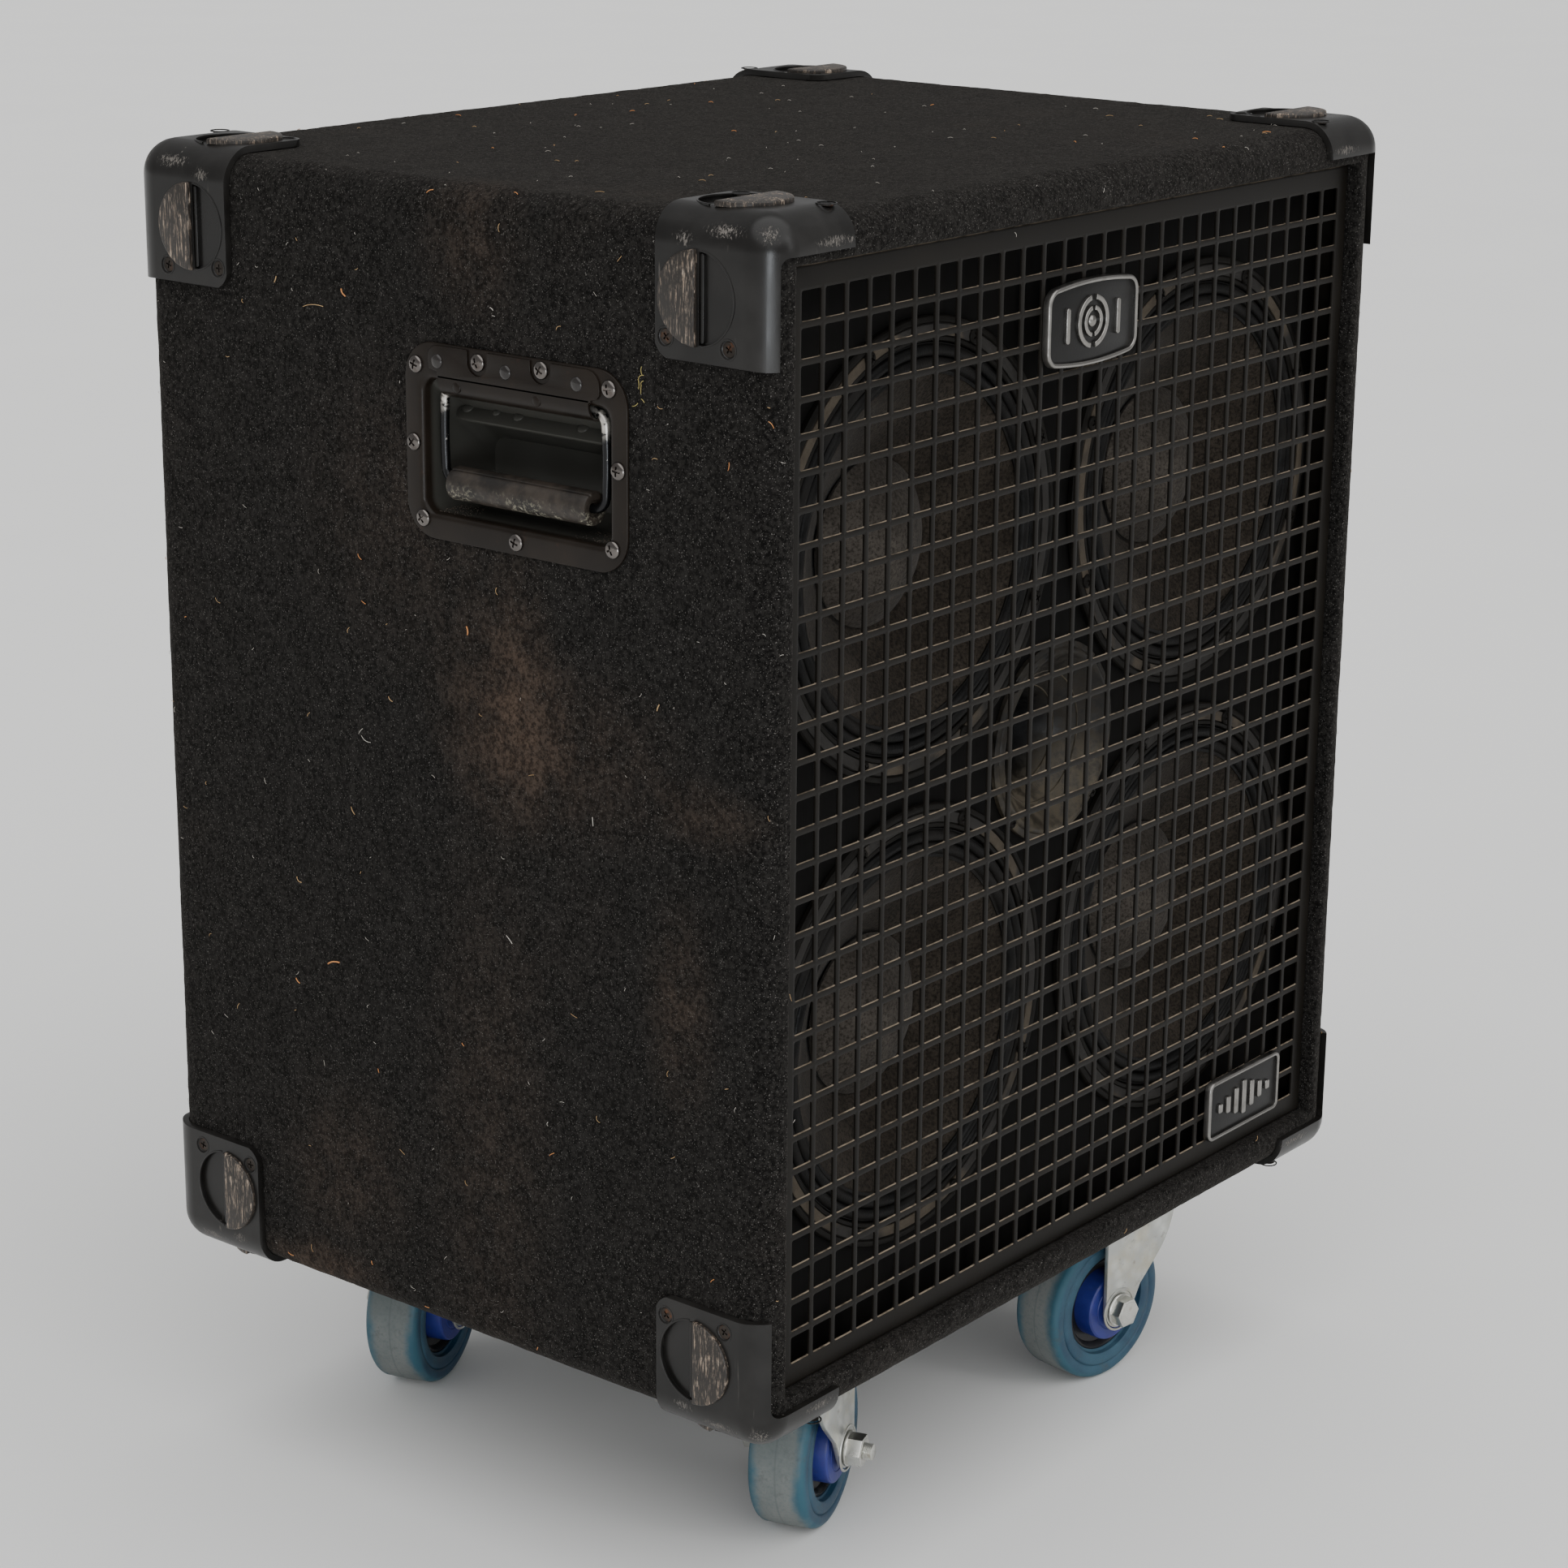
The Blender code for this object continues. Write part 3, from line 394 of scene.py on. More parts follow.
def coated_steel(name, colour, roughness=0.38, dust=0.3, metallic=0.0, shine=0.35):
    """Powder-coated or painted steel: orange-peel, light dust and small chips."""
    paint = Paint(name, roughness, metallic, Specular_IOR_Level=shine)
    peel = paint.noise(650, 2, 0.5)
    haze = paint.noise(18, 4, 0.6)
    base = paint.mix(paint.span(haze, 0.3, 0.8), colour, [c * 1.7 + 0.0015 for c in colour])
    dusty = paint.maths("MULTIPLY", paint.span(paint.noise(75, 4, 0.65), 0.50, 0.78), dust)
    base = paint.mix(dusty, base, (0.055, 0.045, 0.036))
    chips = paint.span(paint.noise(240, 3, 0.5), 0.745, 0.76)
    paint.colour(paint.mix(paint.maths("MULTIPLY", chips, dust), base, (0.22, 0.20, 0.18)))
    paint.rough(paint.maths("ADD", paint.span(haze, 0.3, 0.8, roughness - 0.06, roughness + 0.10), dusty))
    return paint.bump(peel, 0.00010, 0.4).material


def grille_material():
    """Black powder coat, tan on what faces up: painted light from above, and dust."""
    paint = Paint("grille_black", 0.42, Specular_IOR_Level=0.10)
    haze = paint.noise(18, 4, 0.6)
    base = paint.mix(paint.span(haze, 0.3, 0.8), (0.0062, 0.0053, 0.0043), (0.0110, 0.0094, 0.0076))
    # Painted light and dust: faces that point up are mixed towards tan, as if lit from above.
    dust = paint.span(paint.facing("Z"), 0.25, 0.80, 0.0, 1.0)
    dust = paint.maths("MULTIPLY", dust, paint.span(paint.noise(120, 3, 0.6), 0.30, 0.62, 0.25, 1.0))
    paint.colour(paint.mix(dust, base, (0.26, 0.21, 0.155)))
    paint.rough(paint.span(haze, 0.3, 0.8, 0.36, 0.50))
    return paint.bump(paint.noise(900, 2), 0.00008, 0.4).material


def metal_material(name, colour, roughness, stain=(0.3, 0.2, 0.1), stained=0.3, grain=300):
    """Bare or plated metal with tarnish and faint brushing."""
    paint = Paint(name, roughness, 1.0)
    blotch = paint.noise(60, 4, 0.6)
    brushed = paint.noise(grain, 2, 0.6, paint.stretched((1, 1, 0.12)))
    base = paint.mix(paint.span(blotch, 0.3, 0.75), colour, [c * 0.72 for c in colour])
    paint.colour(paint.mix(paint.span(paint.noise(140, 4, 0.65), 0.52, 0.75, 0, stained), base, stain))
    paint.rough(paint.span(blotch, 0.3, 0.75, roughness, roughness + 0.18))
    return paint.bump(brushed, 0.00006, 0.3).material


def handle_material():
    """Satin brown-black enamel on the handle's plate, duller and paler inside its pocket, where the paler colour
    is painted light that lifts the pocket's shade.
    """
    paint = Paint("handle_black", 0.33, Specular_IOR_Level=0.17)
    haze = paint.noise(24, 4, 0.6)
    # Painted light: inside the pocket the colour is lifted paler, to stand in for light in the pocket's shade.
    inside = paint.span(paint.maths("ABSOLUTE", paint.axis("X")), HALF.x - 0.0075, HALF.x - 0.0035, 1.0, 0.0)
    base = paint.mix(paint.span(haze, 0.3, 0.8), (0.0090, 0.0066, 0.0050), (0.0165, 0.0122, 0.0090))
    rust = paint.span(paint.noise(130, 4, 0.7), 0.62, 0.76, 0.0, 0.5)
    base = paint.mix(rust, base, (0.040, 0.018, 0.010))
    paint.colour(paint.mix(inside, base, (0.040, 0.039, 0.034)))
    paint.rough(paint.span(haze, 0.3, 0.8, 0.28, 0.40))
    return paint.bump(paint.noise(650, 2), 0.00008, 0.35).material


def zinc_material():
    """Zinc plate: pale grey crystals, slightly yellow, with patches of dirt."""
    paint = Paint("zinc_plate", 0.38, 0.75)
    crystals = paint.cells(110)
    blotch = paint.noise(45, 4, 0.65)
    base = paint.mix(paint.span(crystals, 0.0, 0.8), (0.62, 0.63, 0.60), (0.46, 0.47, 0.45))
    base = paint.mix(paint.span(blotch, 0.42, 0.72, 0.0, 0.55), base, (0.52, 0.47, 0.33))
    dirt = paint.span(paint.noise(160, 4, 0.7), 0.56, 0.74, 0.0, 0.6)
    paint.colour(paint.mix(dirt, base, (0.14, 0.11, 0.08)))
    paint.rough(paint.span(blotch, 0.3, 0.7, 0.30, 0.52))
    paint.metal(paint.span(dirt, 0.0, 0.6, 0.85, 0.2))
    return paint.bump(crystals, 0.00015, 0.25).material


def bail_material():
    """Black-plated wire, worn to bright metal at its two top bends and dulled elsewhere."""
    paint = Paint("bail_wire", 0.3, 0.8)
    _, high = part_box("handle_bail_left")
    edge = paint.noise(260, 3, 0.6)
    height = paint.span(paint.axis("Z"), high.z - 0.019, high.z - 0.009)
    worn = paint.maths("MULTIPLY", height, paint.span(edge, 0.36, 0.52))
    speck = paint.maths("MULTIPLY", paint.span(edge, 0.66, 0.70), 0.5)
    worn = paint.maths("MAXIMUM", worn, speck)
    steel = paint.mix(paint.noise(500, 2), (0.46, 0.42, 0.37), (0.72, 0.69, 0.64))
    paint.colour(paint.mix(worn, (0.020, 0.020, 0.021), steel))
    paint.rough(paint.span(worn, 0, 1, 0.27, 0.42))
    return paint.bump(edge, 0.00015, 0.4).material


def grip_material():
    """Rubbed brown-black grip with pale worn specks on its lower half."""
    paint = Paint("grip_rubber", 0.62, Specular_IOR_Level=0.35)
    low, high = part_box("handle_grip_left")
    lower = paint.span(paint.axis("Z"), low.z + 0.003, high.z - 0.006, 1.0, 0.0)
    specks = paint.span(paint.noise(420, 4, 0.75), 0.50, 0.60)
    patches = paint.span(paint.noise(58, 3, 0.6), 0.40, 0.58)
    wear = paint.maths("MULTIPLY", paint.maths("MULTIPLY", specks, patches), lower)
    blotches = paint.span(paint.noise(60, 4, 0.65), 0.35, 0.68)
    broad = paint.mix(blotches, (0.010, 0.008, 0.0065), (0.040, 0.031, 0.024))
    pale = paint.mix(paint.noise(300, 2), (0.14, 0.125, 0.09), (0.34, 0.32, 0.25))
    paint.colour(paint.mix(wear, broad, pale))
    paint.rough(paint.span(wear, 0, 1, 0.50, 0.8))
    paint.bump(paint.noise(700, 2), 0.0001, 0.5)
    return paint.bump(wear, 0.0003, 0.6).material


def cone_material(name, dark, light, rings=True):
    """Pressed paper pulp: short fibres, faint rings and grey dust in patches."""
    paint = Paint(name, 0.92, Sheen_Weight=0.04, Specular_IOR_Level=0.12)
    fibres = paint.noise(520, 4, 0.7)
    blotch = paint.noise(26, 4, 0.6)
    base = paint.mix(paint.span(fibres, 0.34, 0.68), dark, light)
    dust = paint.maths("MULTIPLY", paint.span(blotch, 0.35, 0.7, 0.12, 0.75), paint.span(fibres, 0.3, 0.6))
    paint.colour(paint.mix(dust, base, [c * 1.7 + 0.006 for c in light]))
    if rings:
        wave = paint.nodes.new("ShaderNodeTexWave")
        wave.wave_type = "RINGS"
        wave.rings_direction = "SPHERICAL"
        paint.links.new(paint.stretched((1, 1, 0)), wave.inputs["Vector"])
        wave.inputs["Scale"].default_value = 75
        paint.bump(wave.outputs["Fac"], 0.0002, 0.25)
    return paint.bump(fibres, 0.0005, 0.9).material


def horn_material():
    """Dark moulded horn: the bell's lower half is paler, painted light from above and dust, and the throat is
    painted dark shade. Local Y is up.
    """
    paint = Paint("horn_plastic", 0.36, Specular_IOR_Level=0.30)
    mottle = paint.noise(95, 5, 0.7)
    base = paint.mix(paint.span(mottle, 0.36, 0.62), (0.006, 0.0052, 0.0042), (0.024, 0.020, 0.015))
    dusty = paint.mix(paint.span(mottle, 0.36, 0.62), (0.028, 0.023, 0.016), (0.085, 0.070, 0.048))
    # Painted light and dust: the bell's lower half is mixed towards a paler, dusty colour.
    base = paint.mix(paint.span(paint.axis("Y"), -0.026, 0.004, 0.9, 0.0), base, dusty)
    # Painted shade: the deep throat is darkened to near black.
    base = paint.mix(paint.span(paint.axis("Z"), -0.034, -0.010, 1.0, 0.0), base, (0.002, 0.002, 0.002))
    paint.colour(base)
    paint.rough(paint.span(mottle, 0.4, 0.66, 0.38, 0.8))
    return paint.bump(mottle, 0.0002, 0.4).material


def tyre_material():
    """Elastic tyre: worn grey tread, blue sides and darker shoulders. The wheel turns about local Z."""
    paint = Paint("tyre_rubber", 0.6, Specular_IOR_Level=0.45)
    radius = paint.from_axis((1, 1, 0))
    across = paint.maths("ABSOLUTE", paint.axis("Z"))
    smear = paint.noise(28, 5, 0.65)
    grit = paint.noise(500, 3, 0.6)
    blue = paint.mix(paint.span(smear, 0.35, 0.7), (0.010, 0.038, 0.072), (0.032, 0.085, 0.125))
    edge = paint.maths("ADD", across, paint.span(smear, 0.3, 0.7, -0.0030, 0.0030))
    tread = paint.mix(paint.span(smear, 0.32, 0.68), (0.105, 0.122, 0.120), (0.165, 0.175, 0.168))
    tread = paint.mix(paint.span(grit, 0.45, 0.75, 0.0, 0.35), tread, (0.060, 0.085, 0.090))
    line = paint.span(across, 0.0002, 0.0009, 0.30, 0.0)
    tread = paint.mix(line, tread, (0.045, 0.060, 0.065))
    tread = paint.mix(paint.span(edge, 0.0085, 0.0165), tread, (0.022, 0.085, 0.120))
    on_tread = paint.span(radius, 0.0455, 0.0480)
    mixed = paint.mix(on_tread, blue, tread)
    grime = paint.span(paint.noise(75, 5, 0.7), 0.55, 0.75, 0.0, 0.65)
    paint.colour(paint.mix(grime, mixed, (0.050, 0.058, 0.060)))
    paint.rough(paint.span(smear, 0.3, 0.7, 0.42, 0.72))
    return paint.bump(grit, 0.00015, 0.5).material


def hub_material():
    paint = Paint("hub_nylon", 0.36, Specular_IOR_Level=0.5, Subsurface_Weight=0.05)
    smear = paint.noise(38, 4, 0.6)
    grime = paint.span(paint.noise(110, 5, 0.7), 0.56, 0.76, 0.0, 0.5)
    blue = paint.mix(paint.span(smear, 0.3, 0.7), (0.008, 0.012, 0.120), (0.018, 0.026, 0.190))
    paint.colour(paint.mix(grime, blue, (0.030, 0.034, 0.060)))
    paint.rough(paint.span(smear, 0.3, 0.7, 0.30, 0.5))
    return paint.bump(paint.noise(600, 2), 0.00006, 0.3).material


def wood_material(name, light, dark, painted=False):
    paint = Paint(name, 0.7, Specular_IOR_Level=0.08 if painted else 0.4)
    veins = paint.noise(30, 5, 0.65, paint.stretched((1, 1, 0.08)), 1.5)
    pores = paint.noise(700, 2, 0.6, paint.stretched((1, 1, 0.05)))
    paint.colour(paint.mix(paint.span(veins, 0.35, 0.68), light, dark))
    paint.rough(paint.span(veins, 0.3, 0.7, 0.62, 0.85))
    return paint.bump(pores, 0.0002, 0.3 if painted else 0.6).material


def board_material():
    """Green laminate with a faint weave."""
    paint = Paint("circuit_board", 0.4, Specular_IOR_Level=0.5)
    weave = paint.cells(700)
    paint.colour(paint.mix(paint.noise(25, 3), (0.020, 0.090, 0.032), (0.045, 0.150, 0.060)))
    return paint.bump(weave, 0.00008, 0.4).material


def plain_fibre(name, first, second):
    paint = Paint(name, 0.85)
    return paint.colour(paint.mix(paint.noise(160, 2), first, second)).material


def make_materials():
    return {
        "felt": felt_material(),
        "fuzz": plain_fibre("carpet_fibre", (0.006, 0.0055, 0.005), (0.040, 0.036, 0.033)),
        "lint_pale": plain_fibre("lint_pale", (0.34, 0.31, 0.27), (0.60, 0.57, 0.52)),
        "lint_tan": plain_fibre("lint_tan", (0.28, 0.16, 0.07), (0.52, 0.36, 0.18)),
        "lint_orange": plain_fibre("lint_orange", (0.42, 0.15, 0.05), (0.55, 0.26, 0.09)),
        "lint_moss": plain_fibre("lint_moss", (0.16, 0.15, 0.04), (0.42, 0.32, 0.12)),
        "grille": grille_material(),
        "corner": plastic_material("corner_plastic", 0.22, rubbed=corner_rubs()),
        "pad": pad_material(),
        "corner_screw": metal_material(
            "corner_screw_dark", (0.06, 0.052, 0.046), 0.45, (0.20, 0.08, 0.035), 0.7),
        "handle": handle_material(),
        "rivet": coated_steel("handle_rivet", (0.014, 0.012, 0.011), 0.20, 0.06, 0.3, 0.6),
        "handle_screw": metal_material(
            "handle_screw_nickel", (0.17, 0.155, 0.145), 0.13, (0.05, 0.03, 0.02), 0.5),
        "pocket_dust": dust_material(),
        "bail": bail_material(),
        "grip": grip_material(),
        "frame": coated_steel("driver_frame_black", (0.0060, 0.0053, 0.0044), 0.45, 0.12, 0.0, 0.09),
        "gasket": gasket_material(),
        "cone": cone_material("cone_paper", (0.0080, 0.0064, 0.0048), (0.0240, 0.0190, 0.0140)),
        "cap": cone_material("dust_cap", (0.0190, 0.0160, 0.0130), (0.0430, 0.0370, 0.0310), False),
        "surround": surround_material(),
        "horn": horn_material(),
        "silver": metal_material("badge_silver", (0.27, 0.26, 0.245), 0.26, (0.09, 0.08, 0.07), 0.4, 500),
        "badge_field": coated_steel("badge_field_black", (0.0045, 0.0043, 0.0042), 0.34, 0.08, 0.0, 0.18),
        "zinc": zinc_material(),
        "bright": metal_material("bright_steel", (0.66, 0.66, 0.62), 0.27, (0.34, 0.25, 0.14), 0.4),
        "tyre": tyre_material(),
        "hub": hub_material(),
        "rim": plastic_material("wheel_rim_black", 0.10, (0.011, 0.011, 0.012)),
        "plywood": wood_material("birch_plywood", (0.50, 0.36, 0.22), (0.33, 0.21, 0.11)),
        "baffle": wood_material(
            "baffle_black_paint", (0.0032, 0.0030, 0.0028), (0.0062, 0.0057, 0.0052), True),
        "dish": plastic_material("dish_plastic", 0.06, (0.0100, 0.0098, 0.0095)),
        "knob": plastic_material("knob_plastic", 0.05, (0.0080, 0.0080, 0.0082)),
        "legend": plain_fibre("printed_marks", (0.50, 0.50, 0.48), (0.60, 0.60, 0.58)),
        "board": board_material(),
    }


def dust_material():
    paint = Paint("pocket_dust", 0.95)
    grain = paint.noise(600, 4, 0.7)
    paint.colour(paint.mix(grain, (0.055, 0.040, 0.030), (0.17, 0.135, 0.105)))
    return paint.bump(grain, 0.0003, 0.8).material


def gasket_material():
    """Cork-like ring on the driver's rim: near black with tan stretches."""
    paint = Paint("rim_gasket", 0.85)
    grain = paint.noise(380, 4, 0.7)
    stretch = paint.span(paint.noise(16, 2), 0.52, 0.60)
    dark = paint.mix(grain, (0.007, 0.006, 0.005), (0.022, 0.019, 0.016))
    tan = paint.mix(grain, (0.030, 0.023, 0.015), (0.085, 0.066, 0.044))
    paint.colour(paint.mix(stretch, dark, tan))
    return paint.bump(grain, 0.0004, 0.7).material


def surround_material():
    """Doped cloth rolls with a soft shine."""
    paint = Paint("cone_surround", 0.42, Specular_IOR_Level=0.13)
    weave = paint.cells(800)
    haze = paint.noise(24, 4, 0.6)
    paint.colour(paint.mix(paint.span(haze, 0.4, 0.75), (0.0045, 0.0044, 0.0043), (0.015, 0.0135, 0.012)))
    paint.rough(paint.span(haze, 0.35, 0.75, 0.38, 0.62))
    return paint.bump(weave, 0.00018, 0.6).material


# ---------------------------------------------------------------- mesh helpers

def new_object(name, data):
    made = bpy.data.objects.new(name, data)
    bpy.context.scene.collection.objects.link(made)
    return made


def to_object(bm, name="shape", weld=1e-6):
    bmesh.ops.remove_doubles(bm, verts=bm.verts, dist=weld)
    bmesh.ops.recalc_face_normals(bm, faces=bm.faces)
    mesh = bpy.data.meshes.new(name)
    bm.to_mesh(mesh)
    bm.free()
    return new_object(name, mesh)


def baked(obj):
    """Applies the object's modifiers to its mesh."""
    bpy.context.view_layer.update()
    graph = bpy.context.evaluated_depsgraph_get()
    result = bpy.data.meshes.new_from_object(obj.evaluated_get(graph))
    obj.modifiers.clear()
    obj.data = result
    return obj


def only_mesh(obj):
    """The object's mesh, without the object."""
    mesh = obj.data
    bpy.data.objects.remove(obj)
    return mesh


def combine(obj, bm, operation):
    """Joins (UNION), cuts (DIFFERENCE) or trims (INTERSECT) the object with the shape in the bmesh."""
    tool = to_object(bm)
    step = obj.modifiers.new("step", "BOOLEAN")
    step.operation = operation
    step.object = tool
    baked(obj)
    bpy.data.objects.remove(tool)
    return obj


def soften(obj, width, segments=2, angle=35):
    """Rounds every edge sharper than the angle."""
    bevel = obj.modifiers.new("bevel", "BEVEL")
    bevel.width = width
    bevel.segments = segments
    bevel.limit_method = "ANGLE"
    bevel.angle_limit = math.radians(angle)
    bevel.use_clamp_overlap = True
    return baked(obj)


def show(obj, name, material, body="cabinet", replaces=(), angle=40, weighted=False, matrix=None):
    """Names, shades and colours a piece and lets it ride on its body."""
    if isinstance(obj, bmesh.types.BMesh):
        obj = to_object(obj)
    obj.name = name
    obj.data.name = name
    obj.data.materials.clear()
    obj.data.materials.append(material)
    obj.data.shade_smooth()
    if weighted:
        obj.modifiers.new("normals", "WEIGHTED_NORMAL").keep_sharp = False
    elif angle < 180:
        obj.data.set_sharp_from_angle(angle=math.radians(angle))
    if matrix:
        obj.matrix_world = matrix
    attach(obj, body)
    if replaces:
        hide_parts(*replaces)
    return obj


def same_mesh(obj, name, matrix, body, replaces=()):
    """Another piece with the same mesh."""
    made = new_object(name, obj.data)
    made.matrix_world = matrix
    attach(made, body)
    if replaces:
        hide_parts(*replaces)
    return made


def bridge(bm, first, second):
    """Faces between two closed rings, either of which may be a single point."""
    count = max(len(first), len(second))
    if len(first) == 1:
        first = first * count
    if len(second) == 1:
        second = second * count
    for i in range(count):
        j = (i + 1) % count
        unique = list(dict.fromkeys((first[i], first[j], second[j], second[i])))
        if len(unique) > 2:
            bm.faces.new(unique)


def add_turned(bm, profile, segments=ROUND_STEPS, matrix=None, closed=False):
    """A surface of revolution about Z through (radius, height) points. closed joins last ring to first."""
    turns = [2 * math.pi * i / segments for i in range(segments)]
    rings = []
    for radius, height in profile:
        if radius < 1e-6:
            rings.append([(0, 0, height)])
        else:
            rings.append([(radius * math.cos(a), radius * math.sin(a), height) for a in turns])
    return add_loft(bm, rings, matrix, False, closed)


def add_loft(bm, rings, matrix=None, capped=True, closed=False):
    """A skin over rings of points, with flat ends where it is capped."""
    matrix = matrix or Matrix()
    loops = [[bm.verts.new(matrix @ Vector(point)) for point in ring] for ring in rings]
    for first, second in zip(loops, loops[1:] + loops[:1] if closed else loops[1:]):
        bridge(bm, first, second)
    if capped:
        bm.faces.new(loops[0][::-1])
        bm.faces.new(loops[-1])
    return bm


def quarter_turn(steps):
    return [math.pi / 2 * i / steps for i in range(steps + 1)]


def arc(centre, radius, start, end, steps):
    """Points on an arc, with its angles in degrees."""
    angles = [math.radians(start + (end - start) * i / steps) for i in range(steps + 1)]
    return [(centre[0] + radius * math.cos(a), centre[1] + radius * math.sin(a)) for a in angles]


def rounded_rectangle(width, height, radius, centre=(0, 0), steps=6):
    points = []
    for quarter, (side_u, side_v) in enumerate([(1, 1), (-1, 1), (-1, -1), (1, -1)]):
        middle = (centre[0] + side_u * (width / 2 - radius), centre[1] + side_v * (height / 2 - radius))
        points += arc(middle, radius, 90 * quarter, 90 * quarter + 90, steps)
    return points


def circle(radius, segments=32, centre=(0, 0)):
    return arc(centre, radius, 0, 360, segments)[:-1]


def inset(outline, distance):
    """The closed anticlockwise outline moved inwards by this distance."""
    moved_points = []
    count = len(outline)
    for i, point in enumerate(outline):
        before, here, after = Vector(outline[i - 1]), Vector(point), Vector(outline[(i + 1) % count])
        normals = []
        for a, b in ((before, here), (here, after)):
            along = b - a
            if along.length > 1e-9:
                normals.append(Vector((-along.y, along.x)).normalized())
        normal = sum(normals, Vector((0, 0))).normalized()
        moved_points.append(tuple(here + normal * distance / max(0.35, normal.dot(normals[0]))))
    return moved_points


def add_slab(bm, outline, low, high, edge, matrix=None, steps=3, both=False):
    """A plate with this outline in XY, from low to high in Z, with its upper rim rounded by edge."""
    rings = []
    if both:
        for angle in quarter_turn(steps)[:-1]:
            rim = inset(outline, edge * (1 - math.sin(angle)))
            rings.append([(u, v, low + edge * (1 - math.cos(angle))) for u, v in rim])
        rings.append([(u, v, low + edge) for u, v in outline])
    else:
        rings.append([(u, v, low) for u, v in outline])
    for angle in quarter_turn(steps):
        rim = inset(outline, edge * (1 - math.cos(angle)))
        rings.append([(u, v, high - edge + edge * math.sin(angle)) for u, v in rim])
    return add_loft(bm, rings, matrix)


def prism(outline, axis, start, end):
    """A plain prism: its outline lies across the axis."""
    slot = "XYZ".index(axis)
    return add_loft(bmesh.new(), [[(*p[:slot], along, *p[slot:]) for p in outline] for along in (start, end)])


def box(low, high):
    bm = bmesh.new()
    bmesh.ops.create_cube(bm, size=1.0)
    low, high = Vector(low), Vector(high)
    bmesh.ops.scale(bm, vec=high - low, verts=bm.verts)
    bmesh.ops.translate(bm, vec=(low + high) / 2, verts=bm.verts)
    return bm


def rounded_box(size, radius, segments):
    bm = box([-side / 2 for side in size], [side / 2 for side in size])
    bmesh.ops.bevel(bm, geom=bm.edges[:], offset=radius, segments=segments, profile=0.5, affect="EDGES")
    return bm


def add_tube(bm, points, radius, sides=8, taper=False):
    """A round tube with closed ends along a list of points."""
    path = [Vector(p) for p in points]
    side = Vector((0, 0, 1))
    loops = []
    for i, point in enumerate(path):
        along = (path[min(i + 1, len(path) - 1)] - path[max(i - 1, 0)]).normalized()
        if abs(along.dot(side)) > 0.9:
            side = Vector((0, 1, 0)) if abs(along.y) < 0.9 else Vector((1, 0, 0))
        first = along.cross(side).normalized()
        second = along.cross(first)
        side = first.cross(along)
        here = radius * (1 - 0.7 * i / (len(path) - 1)) if taper else radius
        turns = [2 * math.pi * k / sides for k in range(sides)]
        loops.append([point + here * (math.cos(a) * first + math.sin(a) * second) for a in turns])
    return add_loft(bm, loops)


def stamp(bm, mesh, matrix):
    """Adds a copy of the mesh to the bmesh."""
    before = len(bm.verts)
    bm.from_mesh(mesh)
    bm.verts.ensure_lookup_table()
    bmesh.ops.transform(bm, matrix=matrix, verts=bm.verts[before:])
    return bm


def cross_head(radius, height, flat=False):
    """The mesh of a screw head with a cross recess. It stands on Z = 0 and points along +Z."""
    bm = bmesh.new()
    if flat:
        profile = [(0, -height), (radius * 0.5, -height), (radius, -0.0001), (radius * 0.97, 0), (0, 0)]
    else:
        dome = [(radius * math.cos(a), height * (0.25 + 0.75 * math.sin(a))) for a in quarter_turn(8)[:-1]]
        profile = [(0, -0.0004), (radius, -0.0004)] + dome + [(0, height)]
    head = to_object(add_turned(bm, profile, 28))
    reach, half = radius * 0.56, radius * 0.115
    bottom, top = (-height * 0.55, 0.001) if flat else (height * 0.38, height * 1.3)
    for u, v in ((reach, half), (half, reach)):
        combine(head, box((-u, -v, bottom), (u, v, top)), "DIFFERENCE")
    return only_mesh(head)


def domed(radius, height, steps=6):
    """Profile of a rivet head."""
    curve = [(radius * math.cos(a), height * math.sin(a)) for a in quarter_turn(steps)[:-1]]
    return [(radius, -0.0005)] + curve + [(0, height)]


# ---------------------------------------------------------------- carpet

def axis_marks(half, spacing, arc_steps=5):
    """Places along one side of the box: even over the flat part, and at equal angles over the round edges."""
    flat = half - EDGE_RADIUS
    count = round(2 * flat / spacing)
    marks = [-flat + 2 * flat * i / count for i in range(count + 1)]
    ends = [flat + EDGE_RADIUS * math.tan(math.pi / 4 * (i + 1) / arc_steps) for i in range(arc_steps)]
    return [-end for end in reversed(ends)] + marks + ends


def on_box(point):
    """The point on the rounded box, and its normal, for a point on the sharp box about the centre."""
    inner = Vector([max(-h + EDGE_RADIUS, min(h - EDGE_RADIUS, c)) for c, h in zip(point, HALF)])
    normal = (Vector(point) - inner).normalized()
    return CENTRE + inner + normal * EDGE_RADIUS, normal


def felt_height(point):
    """How far the felt stands proud: soft swells and small lumps."""
    swell = noise.noise(point * 18.0) * 0.6 + noise.noise(point * 75.0) * 0.5
    return FELT_SWELL * (swell + 0.7 * noise.noise(point * 260.0)) - 0.0002


def find_holes():
    """(axis, side, low, high) of the openings cut in the carpet, each hidden under a plate's flange."""
    found = []
    for word, side in (("left", -1), ("right", 1)):
        low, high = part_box(f"handle_dish_{word}")
        middle = (low + high) / 2 - Vector((0, 0, OPENING_DROP))
        reach = Vector((1, OPENING_SIZE[0] / 2 + 0.004, OPENING_SIZE[1] / 2 + 0.004))
        found.append((0, side, middle - reach, middle + reach))
    low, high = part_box("socket_dish")
    found.append((1, 1, low + Vector((0.006, -1, 0.006)), high + Vector((-0.006, 1, -0.006))))
    return found


HOLES = find_holes()


def in_hole(point, normal, holes):
    """Whether the point lies in one of the holes and on the same side of the box."""
    for axis, side, low, high in holes:
        if normal[axis] * side > 0.9 and all(low[i] < point[i] < high[i] for i in range(3)):
            return True
    return False


